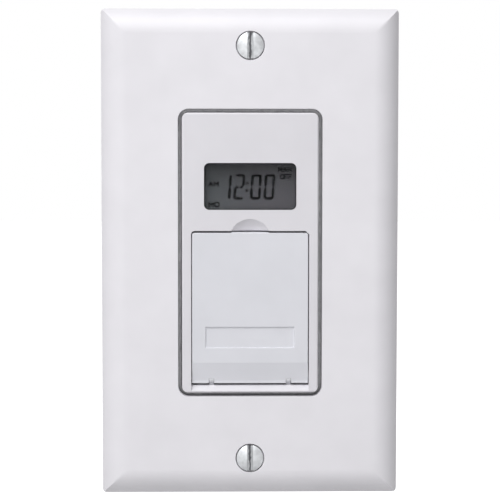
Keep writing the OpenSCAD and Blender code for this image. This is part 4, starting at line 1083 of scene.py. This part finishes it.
class TIMER_OT_display(PieceOperator, bpy.types.Operator):
    """Lens, slanted figures and small words"""

    bl_idname = "timer_switch.display"
    bl_label = "Display"

    def execute(self, context):
        place(softened("lens_moulding", "display_lens", LENS_ROUND, segments=3), "switch",
              "lens_clear", "display_lens")
        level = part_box("lcd_panel")[0].y
        self.figures(level)
        rows = [(text, x * MM, z * MM, level, size_of("word_height"), wide * MM)
                for text, x, z, wide in DISPLAY_WORDS]
        place(lettered("display_words", rows, size_of("word_stroke"), FINISH["ink_black"]),
              "switch", "lcd_glass")
        return {"FINISHED"}

    def segments(self):
        """Each segment's bars: across, up, turn and run from the middle of its figure."""
        stroke = size_of("figure_stroke")
        half_w = (size_of("figure_width") - stroke) / 2
        half_h = (size_of("figure_height") - stroke) / 2
        upright = half_h + SEGMENT_OVERLAP * stroke
        level = 2 * half_w + 2 * SEGMENT_OVERLAP * stroke
        up = math.pi / 2
        return {
            "a": [(0.0, half_h, 0.0, level)],
            "b": [(half_w, upright / 2, up, upright)],
            "c": [(half_w, -upright / 2, up, upright)],
            "d": [(0.0, -half_h, 0.0, level)],
            "e": [(-half_w, -upright / 2, up, upright)],
            "f": [(-half_w, upright / 2, up, upright)],
            "g": [(side * half_w / 2, 0.0, 0.0, half_w) for side in (-1, 1)],
            ":": [(0.0, side * FIGURE["colon_rise"], 0.0, FIGURE["colon_dot"]) for side in (1, -1)],
        }

    def figures(self, level):
        """The time, from six-sided segments."""
        spots = self.segments()
        places, turns, runs = [], [], []
        for centre, lit in FIGURES:
            for key in lit:
                for x, z, turn, run in spots[key]:
                    places.append((centre * MM + x, level - LETTER_PROUD / 2, FIGURE["middle"] + z))
                    turns.append(turn)
                    runs.append(run)
        piece = segment_tree().grow(
            "display_figures", points_mesh("figure_spots", places, turn=turns, run=runs),
            Stroke=size_of("figure_stroke"), Gap=FIGURE["gap"], Taper=1.0, Thickness=LETTER_PROUD,
            Slant=size_of("figure_slant"), Middle_height=FIGURE["middle"],
            Finish=FINISH["ink_black"])
        place(piece, "switch", "lcd_glass")


KNUCKLE_BACK = 0.06 * MM
KEY_STROKE = 0.2 * MM
LEGEND_DROP = 2.3 * MM
# Each key's legend, with its height and width in millimetres.
KEY_LEGENDS = (("mode", "MODE", 1.3, 4.7), ("plus", "+", 4.4, 2.4), ("minus", "-", 4.4, 2.4))
# The paddle's words: name, text, middle across, height, width and stroke, in millimetres.
PADDLE_LEGENDS = (("on_off_legend", "ON/OFF", 0.0, 1.5, 7.2, 0.2),
                  ("reset_legend", "RESET", 6.2, 0.85, 3.0, 0.13))


class TIMER_OT_keys(PieceOperator, bpy.types.Operator):
    """Paddle, keys, battery tray and their legends behind the door"""

    bl_idname = "timer_switch.keys"
    bl_label = "Paddle and keys"

    def execute(self, context):
        width = size_of("edge_round")
        self.paddle(width)
        place(softened("tray_moulding", "battery_tray", width), "switch", "inner_white",
              "battery_tray")
        for key in ("mode", "plus", "minus"):
            piece = softened(key + "_cap", key + "_key", 2 * width, segments=3)
            place(piece, key + "_key", "key_grey", key + "_key")
        self.legends()
        return {"FINISHED"}

    def paddle(self, width):
        """Paddle whose knuckles stand back at their feet, clear of the door when it is wide open."""
        piece = merged_copy("paddle_moulding", "on_off_paddle")
        pin, barrel = hinge()
        for vert in piece.data.vertices:
            if abs(vert.co.y - pin.y) < CLOSE and vert.co.z < pin.z - barrel + CLOSE:
                vert.co.y += KNUCKLE_BACK
        place(shade(rounded(piece, width)), "paddle", "inner_white", "on_off_paddle")

    def legends(self):
        """Words on the keys and on the paddle."""
        level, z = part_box("mode_key")[0].y, middle_of("mode_key").z
        for key, text, tall, wide in KEY_LEGENDS:
            word = (text, middle_of(key + "_key").x, z, level, tall * MM, wide * MM)
            place(lettered(key + "_legend", [word], KEY_STROKE, FINISH["ink_white"]),
                  key + "_key", "key_grey")
        low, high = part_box("on_off_paddle")
        for name, text, x, tall, wide, stroke in PADDLE_LEGENDS:
            word = (text, x * MM, high.z - LEGEND_DROP, low.y, tall * MM, wide * MM)
            place(lettered(name, [word], stroke * MM, FINISH["ink_grey"]), "paddle", "inner_white")


TO_ROOM, TO_WALL = 1, -1
BOTH = (-1, 1)
CORNERS = [(x, z) for x in BOTH for z in BOTH]
RINGS_A_TURN = 8
TIP_SHARE, FOOT_SHARE = 0.4, 0.6
SCREW_SHARP = 38.0
PLATE_SCREW = millimetres(
    at=48.42, head=3.12, dome=0.9, side=0.1, cone=1.4, neck=1.7, neck_l=0.5, shank=1.7, long=10.7,
    slot_w=1.4, slot_d=1.1, slot_l=8.0, cross_l=0.4)
BOX_SCREW = millimetres(
    at=41.67, head=3.1, dome=0.5, side=1.2, cone=0.0, neck=1.4, neck_l=1.25, shank=1.75, long=24.0,
    slot_w=1.3, slot_d=0.85, slot_l=8.0, cross_l=0.4)
CASE_SCREW = millimetres(
    in_x=2.6, in_z=3.0, head=2.3, dome=0.4, side=1.1, cone=0.0, neck=1.15, neck_l=3.0, shank=1.15,
    long=12.25, slot_w=1.0, slot_d=0.75, slot_l=3.4, cross_l=3.4)
BOARD_SCREW = millimetres(
    in_x=1.4, in_z=1.85, head=1.4, dome=0.2, side=0.7, cone=0.0, neck=0.75, neck_l=1.6, shank=0.75,
    long=2.5, slot_w=0.45, slot_d=0.4, slot_l=1.9, cross_l=1.9)


class TIMER_OT_screws(PieceOperator, bpy.types.Operator):
    """Plate, box, case and board screws with threads, grown on points by Geometry Nodes"""

    bl_idname = "timer_switch.screws"
    bl_label = "Screws"

    def execute(self, context):
        tree = screw_tree()
        plate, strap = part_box("wall_plate")[0].y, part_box("mounting_strap")[0].y
        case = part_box("front_housing")[1]
        (low, logic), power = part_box("logic_board"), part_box("power_board")[0]
        pair = [(0.0, plate, way * PLATE_SCREW["at"], TO_ROOM) for way in BOTH[::-1]]
        self.grow(tree, "plate_screw_pair", "plate_screws", PLATE_SCREW, 1.0, pair)
        pair = [(0.0, strap - BOX_SCREW["side"], way * BOX_SCREW["at"], TO_ROOM)
                for way in BOTH[::-1]]
        self.grow(tree, "box_screw_pair", "box_screws", BOX_SCREW, 1.0, pair)
        corners = [(x * (case.x - CASE_SCREW["in_x"]), strap - CASE_SCREW["side"],
                    z * (case.z - CASE_SCREW["in_z"]), TO_ROOM) for x, z in CORNERS]
        self.grow(tree, "case_screw_set", "housing_screws", CASE_SCREW, 0.7, corners)
        heads = ((logic.y + BOARD_SCREW["side"], TO_WALL), (power.y - BOARD_SCREW["side"], TO_ROOM))
        corners = [(x * (logic.x - BOARD_SCREW["in_x"]), y, z, way) for x in BOTH
                   for z in (low.z + BOARD_SCREW["in_z"], logic.z - BOARD_SCREW["in_z"])
                   for y, way in heads]
        self.grow(tree, "board_screw_set", "board_screws", BOARD_SCREW, 0.5, corners)
        return {"FINISHED"}

    def grow(self, tree, name, node, size, thread, spots):
        """One kind of screw, its thread a share of the panel's, on spots of X, Y, Z and way."""
        mesh = points_mesh(name, [spot[:3] for spot in spots],
                           turn=[spot[3] * math.pi / 2 for spot in spots])
        pitch = size_of("thread_pitch") * thread
        tip = TIP_SHARE * size["shank"]
        piece = tree.grow(
            name, mesh, Head_radius=size["head"], Dome=size["dome"], Head_side=size["side"],
            Cone=size["cone"], Neck_radius=size["neck"], Neck_length=size["neck_l"],
            Shank_radius=size["shank"], Shank_length=size["long"] - tip, Tip_length=tip,
            Foot_radius=FOOT_SHARE * size["shank"], Pitch=pitch,
            Thread_depth=size_of("thread_depth") * thread, Slot_width=size["slot_w"],
            Slot_depth=size["slot_d"], Slot_length=size["slot_l"], Cross_length=size["cross_l"],
            Rings=int(RINGS_A_TURN * size["long"] / pitch), Finish=FINISH["screw_steel"])
        place(shade(piece, SCREW_SHARP), "switch", "screw_steel", node)


class TIMER_OT_metalwork(PieceOperator, bpy.types.Operator):
    """Stamped strap and earth screw with rounded edges"""

    bl_idname = "timer_switch.metalwork"
    bl_label = "Strap and earth screw"

    def execute(self, context):
        width = size_of("steel_round")
        place(softened("strap_stamping", "mounting_strap", width), "switch", "zinc_steel",
              "mounting_strap")
        place(softened("earth_hex_screw", "earth_screw", width / 2), "switch", "earth_green",
              "earth_screw")
        return {"FINISHED"}


class TIMER_OT_case(PieceOperator, bpy.types.Operator):
    """Rear housing with rounded edges"""

    bl_idname = "timer_switch.case"
    bl_label = "Rear case"

    def execute(self, context):
        place(softened("case_moulding", "rear_housing", size_of("edge_round")), "switch",
              "housing_grey", "rear_housing")
        return {"FINISHED"}


CHIP = millimetres(reach=1.1, draft=0.12, lift=0.1, corner=0.5, mark_in=1.1, mark_r=0.45,
                   mark_deep=0.15, pitch=0.8, leg_w=0.35, leg_t=0.15, leg_drop=0.08)
CHIP_LEGS, MARK_SIDES = 8, 24
CRYSTAL = millimetres(brim=0.4, skin=0.3)
CAPACITOR = millimetres(crimp=0.4, lip=0.3)
RIM_TURNS = (0.2, 0.6, 1.0, 1.4)
RECTIFIER = millimetres(corner=1.2, edge=0.25)
LEAD_RADIUS = 0.4 * MM
# Places of the leads from the middle of each part, in millimetres.
JOINTS = {
    "film_capacitor": [(-3.75, 0.0), (3.75, 0.0)],
    "electrolytic_capacitor": [(0.0, -1.75), (0.0, 1.75)],
    "varistor": [(0.0, -2.5), (0.0, 2.5)],
    "rectifier": [(2.0 * x, 2.0 * z) for x, z in CORNERS],
    "relay_base": [(-8.0, 0.0)] + [(6.2 * x, 5.8 * z) for x, z in CORNERS],
}


class TIMER_OT_boards(PieceOperator, bpy.types.Operator):
    """Parts that are soldered to the boards, and their joints"""

    bl_idname = "timer_switch.boards"
    bl_label = "Parts on the boards"

    def execute(self, context):
        self.chip()
        self.legs()
        self.crystal()
        self.capacitor()
        self.varistor()
        self.rectifier()
        self.joints()
        return {"FINISHED"}

    def chip(self):
        """Flat moulded body with a pin mark."""
        low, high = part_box("microcontroller")
        reach, draft, lift = CHIP["reach"], CHIP["draft"], CHIP["lift"]
        body = stacked("chip_body", "microcontroller", CHIP["corner"], [
            (reach + draft, low.y + lift), (reach, (low.y + high.y) / 2), (reach + draft, high.y)])
        mark = bmesh.new()
        spot = reach + CHIP["mark_in"]
        add_turned(mark, [(CHIP["mark_r"], high.y - CHIP["mark_deep"]),
                          (CHIP["mark_r"], high.y + lift)], low.x + spot, high.z - spot,
                   MARK_SIDES)
        carve(body, mesh_of("pin_mark", mark))
        place(body, "switch", "chip_black", "microcontroller")

    def legs(self):
        """Bent legs on the chip's four sides."""
        low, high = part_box("microcontroller")
        middle = middle_of("microcontroller")
        foot = Vector((middle.x, low.y, middle.z))
        reach = CHIP["reach"] + CHIP["lift"]
        spots, turns = [], []
        for side in range(4):
            turn = side * math.pi / 2
            out = Vector((math.cos(turn), 0.0, -math.sin(turn)))
            along = Vector((-out.z, 0.0, out.x))
            for i in range(CHIP_LEGS):
                slide = (i - (CHIP_LEGS - 1) / 2) * CHIP["pitch"]
                spots.append(foot + out * (high.x - middle.x - reach) + along * slide)
                turns.append(turn)
        legs = leg_tree().grow(
            "chip_legs", points_mesh("chip_legs", spots, turn=turns), Reach=reach,
            Width=CHIP["leg_w"], Thickness=CHIP["leg_t"],
            Shoulder=middle.y - low.y - CHIP["leg_drop"], Finish=FINISH["can_silver"])
        place(legs, "switch", "can_silver")

    def crystal(self):
        """Drawn can on a flange."""
        low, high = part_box("clock_crystal")
        brim, skin = CRYSTAL["brim"], CRYSTAL["skin"]
        can = stacked("crystal_can_shaped", "clock_crystal", (high.z - low.z) / 2 - CLOSE, [
            (0.0, low.y), (0.0, low.y + skin), (brim, low.y + 1.5 * skin), (brim, high.y - brim),
            (1.3 * brim, high.y - 0.3 * brim), (2 * brim, high.y)])
        place(can, "switch", "can_silver", "clock_crystal")

    def capacitor(self):
        """Sleeved can with a crimp near its foot and a sunk top."""
        low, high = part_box("electrolytic_capacitor")
        r, crimp, lip = (high.x - low.x) / 2, CAPACITOR["crimp"], CAPACITOR["lip"]
        foot, top = high.y, low.y
        profile = [(r - 2 * lip, foot), (r - lip / 2, foot - lip / 2), (r, foot - 2 * lip),
                   (r, foot - 5 * lip), (r - crimp, foot - 6 * lip), (r - crimp, foot - 7 * lip),
                   (r, foot - 8 * lip), (r, top + 1.5 * lip), (r - lip / 2, top + lip / 2),
                   (r - 1.5 * lip, top), (r - 2.5 * lip, top), (r - 3 * lip, top + lip)]
        middle = middle_of("electrolytic_capacitor")
        place(turned("capacitor_can", profile, (middle.x, 0.0, middle.z)), "switch", "sleeve_dark",
              "electrolytic_capacitor")

    def varistor(self):
        """Lacquered disc with a rounded rim."""
        low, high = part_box("varistor")
        r, half = (high.z - low.z) / 2, (high.x - low.x) / 2
        bend = half / 2
        profile = [(r - bend * (1 - math.sin(a)), -half + bend * (1 - math.cos(a)))
                   for a in RIM_TURNS]
        profile += [(radius, -level) for radius, level in profile[::-1]]
        place(turned("varistor_disc", profile, middle_of("varistor"), "X"), "switch",
              "varistor_blue", "varistor")

    def rectifier(self):
        """Bridge with one bevelled corner that marks its plus lead."""
        low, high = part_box("rectifier")
        piece = merged_copy("bridge_body", "rectifier")

        def at_corner(edge):
            return all(v.co.x - low.x < CLOSE and high.z - v.co.z < CLOSE for v in edge.verts)

        rounded(piece, RECTIFIER["corner"], at_corner, segments=1)
        place(shade(rounded(piece, RECTIFIER["edge"])), "switch", "chip_black", "rectifier")

    def joints(self):
        """Solder joints on the back of the power board, under each part's leads."""
        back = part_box("power_board")[1].y
        spots = []
        for node, leads in JOINTS.items():
            middle = middle_of(node)
            spots += [(middle.x + x * MM, back, middle.z + z * MM) for x, z in leads]
        piece = joint_tree().grow("solder_joints", points_mesh("solder_joints", spots),
                                  Lead_radius=LEAD_RADIUS, Finish=FINISH["can_silver"])
        place(shade(piece), "switch", "can_silver")


CELL = millimetres(roll=0.3, button=0.8)
COIL = millimetres(wire=0.2, depth=2.15, flange=0.6)
# Rounding of the other inner parts' edges, in millimetres.
SOFT_EDGES = {
    "lcd_panel": 0.1, "lcd_holder": 0.2, "zebra_strips": 0.25, "hinge_pin": 0.15,
    "tact_switches": 0.12, "on_off_plunger": 0.2, "mode_plunger": 0.2, "plus_plunger": 0.2,
    "minus_plunger": 0.2, "reset_plunger": 0.2, "logic_board": 0.06, "power_board": 0.06,
    "battery_sleeve": 0.2, "positive_contact": 0.06, "negative_contact": 0.06,
    "board_header": 0.12, "relay_base": 0.3, "relay_yoke": 0.1, "relay_armature": 0.08,
    "relay_contacts": 0.08, "relay_cover": 0.6, "film_capacitor": 0.9, "lead_lugs": 0.12,
}


class TIMER_OT_insides(PieceOperator, bpy.types.Operator):
    """Cell, relay coil and the other inner parts with their edges rounded"""

    bl_idname = "timer_switch.insides"
    bl_label = "Inner parts"

    def execute(self, context):
        self.cell()
        self.coil()
        for node, width in SOFT_EDGES.items():
            part = NODES[node]
            slot = part.data.materials[0].name
            piece = softened(node + "_shaped", node, width * MM)
            place(piece, body_of(part)[0], slot, node)
        return {"FINISHED"}

    def cell(self):
        """Lithium cell: jacket with rolled ends and a raised button."""
        low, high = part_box("battery_cell")
        r, roll = (high.x - low.x) / 2, CELL["roll"]
        end = high.y - CELL["button"]
        profile = [(r - 3 * roll, low.y + roll), (r - 2 * roll, low.y), (r - roll, low.y),
                   (r - 0.3 * roll, low.y + 0.3 * roll), (r, low.y + roll), (r, end - roll),
                   (r - 0.3 * roll, end - 0.3 * roll), (r - roll, end), (r - 3 * roll, end),
                   (r - 4 * roll, end - roll), (r / 2 + roll, end - roll), (r / 2, end - roll / 2),
                   (r / 2, high.y - 0.5 * roll), (r / 2 - 0.5 * roll, high.y)]
        middle = middle_of("battery_cell")
        place(turned("cell_shaped", profile, (middle.x, 0.0, middle.z)), "switch", "cell_wrap",
              "battery_cell")

    def coil(self):
        """Bobbin with two flanges and close turns of copper wire."""
        low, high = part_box("relay_coil")
        r, flange, wire = (high.z - low.z) / 2, COIL["flange"], COIL["wire"]
        bore, barrel = r - COIL["depth"], r - 4 * wire
        loop = [(bore, low.y), (r, low.y), (r, low.y + flange), (barrel, low.y + flange),
                (barrel, high.y - flange), (r, high.y - flange), (r, high.y), (bore, high.y)]
        x, z = high.x - r, middle_of("relay_coil").z
        shape = bmesh.new()
        add_turned(shape, loop, x, z, closed=True)
        place(shade(new_piece("coil_bobbin", mesh_of("coil_bobbin", shape))), "switch",
              "copper_wire", "relay_coil", finish="switch_black")
        room = high.y - low.y - 2 * flange - 2 * wire
        start = points_mesh("coil_wire", [(x, low.y + flange + wire, z)])
        turns = wire_tree().grow("coil_wire", start, Turns=room / (2 * wire), Length=room,
                                 Radius=barrel + wire, Wire_radius=wire,
                                 Finish=FINISH["copper_wire"])
        place(shade(turns), "switch", "copper_wire")


CAMERA_AT = Vector((-7.829, -391.382, 23.829)) * MM
CAMERA_TURN = (86.5792, -0.0516, -1.1541)  # degrees about X, Y and Z
CAMERA_LENS, CAMERA_SENSOR, CAMERA_NEAR = 118.84, 36.0, 0.01
# Each lamp's name, place in metres, width, height and power.
LAMPS = (
    ("top_soft_box", (-0.26, -0.6, 0.77), 0.8, 0.8, 9.9),
    ("front_soft_box", (-0.217, -1.084, -0.008), 0.8, 0.19, 1.06),
)
SKY_LIGHT = 0.13
FLOOR_REACH = 2.5
FLOOR_DIM, FLOOR_WHITE = 0.35, 1.0  # glow of the floor close to the switch and away from it
FADE_START, FADE_END = 0.08, 0.2  # metres from the switch between which the glow grows


class TIMER_OT_stage(PieceOperator, bpy.types.Operator):
    """Pale floor, soft studio light, white background and the camera"""

    bl_idname = "timer_switch.stage"
    bl_label = "Stage"

    def execute(self, context):
        scene = context.scene
        scene.view_settings.view_transform = "Standard"
        self.floor()
        self.world(scene)
        for name, spot, wide, high, power in LAMPS:
            lamp = bpy.data.lights.new(name, "AREA")
            lamp.shape = "RECTANGLE"
            lamp.size = wide
            lamp.size_y = high
            lamp.energy = power
            holder = new_piece(name, lamp)
            holder.location = spot
            holder.rotation_euler = (-Vector(spot)).to_track_quat("-Z", "Y").to_euler()
        camera = bpy.data.cameras.new("camera")
        camera.lens = CAMERA_LENS
        camera.sensor_width = CAMERA_SENSOR
        camera.clip_start = CAMERA_NEAR
        scene.camera = new_piece("camera", camera)
        turn = Euler([math.radians(angle) for angle in CAMERA_TURN])
        scene.camera.matrix_world = Matrix.LocRotScale(CAMERA_AT, turn, None)
        return {"FINISHED"}

    def seen(self, nodes):
        """One where the background itself is seen, also in metal and through glass."""
        path = nodes.add("ShaderNodeLightPath").outputs
        seen = path["Is Camera Ray"]
        for other in ("Is Glossy Ray", "Is Transmission Ray"):
            seen = nodes.math("MAXIMUM", seen, path[other])
        return seen

    def floor(self):
        """A pale floor that keeps the switch's shadow and is white further off."""
        level = CAD_BOX[0][2] - size_of("floor_drop")
        corners = ((-1, -1), (1, -1), (1, 1), (-1, 1))
        mesh = bpy.data.meshes.new("floor")
        mesh.from_pydata([(x * FLOOR_REACH, y * FLOOR_REACH, level) for x, y in corners], [],
                         [(0, 1, 2, 3)])
        new_piece("floor", mesh)
        material = bpy.data.materials.new("pale_floor")
        material.use_nodes = True
        mesh.materials.append(material)
        nodes = Nodes(material.node_tree)
        nodes.tree.nodes.remove(nodes.tree.nodes["Principled BSDF"])
        matt = nodes.add("ShaderNodeBsdfDiffuse", {"Color": (*colour_of("floor"), 1.0)})
        coords = nodes.add("ShaderNodeTexCoord").outputs["Object"]
        away = nodes.number("ShaderNodeVectorMath", "Value", {0: coords}, operation="LENGTH")
        fade = nodes.spread(away, FLOOR_DIM, FLOOR_WHITE, FADE_START, FADE_END,
                            interpolation_type="SMOOTHSTEP")
        glow = nodes.add("ShaderNodeEmission", {"Strength": fade * self.seen(nodes)})
        both = nodes.add("ShaderNodeAddShader", {0: matt.outputs[0], 1: glow.outputs[0]})
        nodes.feed(nodes.tree.nodes["Material Output"].inputs["Surface"], both.outputs[0])

    def world(self, scene):
        """Even light all round, white where it is seen."""
        scene.world = bpy.data.worlds.new("studio")
        scene.world.use_nodes = True
        nodes = Nodes(scene.world.node_tree)
        sky = nodes.tree.nodes["Background"].inputs
        nodes.feed(sky["Color"], (1.0, 1.0, 1.0, 1.0))
        nodes.feed(sky["Strength"], nodes.spread(self.seen(nodes), SKY_LIGHT, 1.0, 0.0, 1.0))


PIECES = (TIMER_OT_wall_plate, TIMER_OT_bezel, TIMER_OT_door, TIMER_OT_display, TIMER_OT_keys,
          TIMER_OT_screws, TIMER_OT_metalwork, TIMER_OT_case, TIMER_OT_boards, TIMER_OT_insides,
          TIMER_OT_stage)


class TIMER_PT_pieces(bpy.types.Panel):
    """Lists the pieces, sizes and colours of the timer switch"""

    bl_idname = "TIMER_PT_pieces"
    bl_label = "Timer switch"
    bl_space_type = "VIEW_3D"
    bl_region_type = "UI"
    bl_category = "Timer switch"

    def draw(self, context):
        for piece in PIECES:
            self.layout.operator(piece.bl_idname)
        for group in (context.scene.switch_sizes, context.scene.switch_colours):
            box = self.layout.box()
            for key in group.__annotations__:
                box.prop(group, key)


CLASSES = (SwitchSizes, SwitchColours, *PIECES, TIMER_PT_pieces)


def register():
    for one in CLASSES:
        bpy.utils.register_class(one)
    bpy.types.Scene.switch_sizes = PointerProperty(type=SwitchSizes)
    bpy.types.Scene.switch_colours = PointerProperty(type=SwitchColours)


def unregister():
    del bpy.types.Scene.switch_colours
    del bpy.types.Scene.switch_sizes
    for one in reversed(CLASSES):
        bpy.utils.unregister_class(one)


def main():
    register()
    FINISH.update(make_finishes())
    for piece in PIECES:
        group, name = piece.bl_idname.split(".")
        getattr(getattr(bpy.ops, group), name)()


if __name__ == "__main__":
    main()
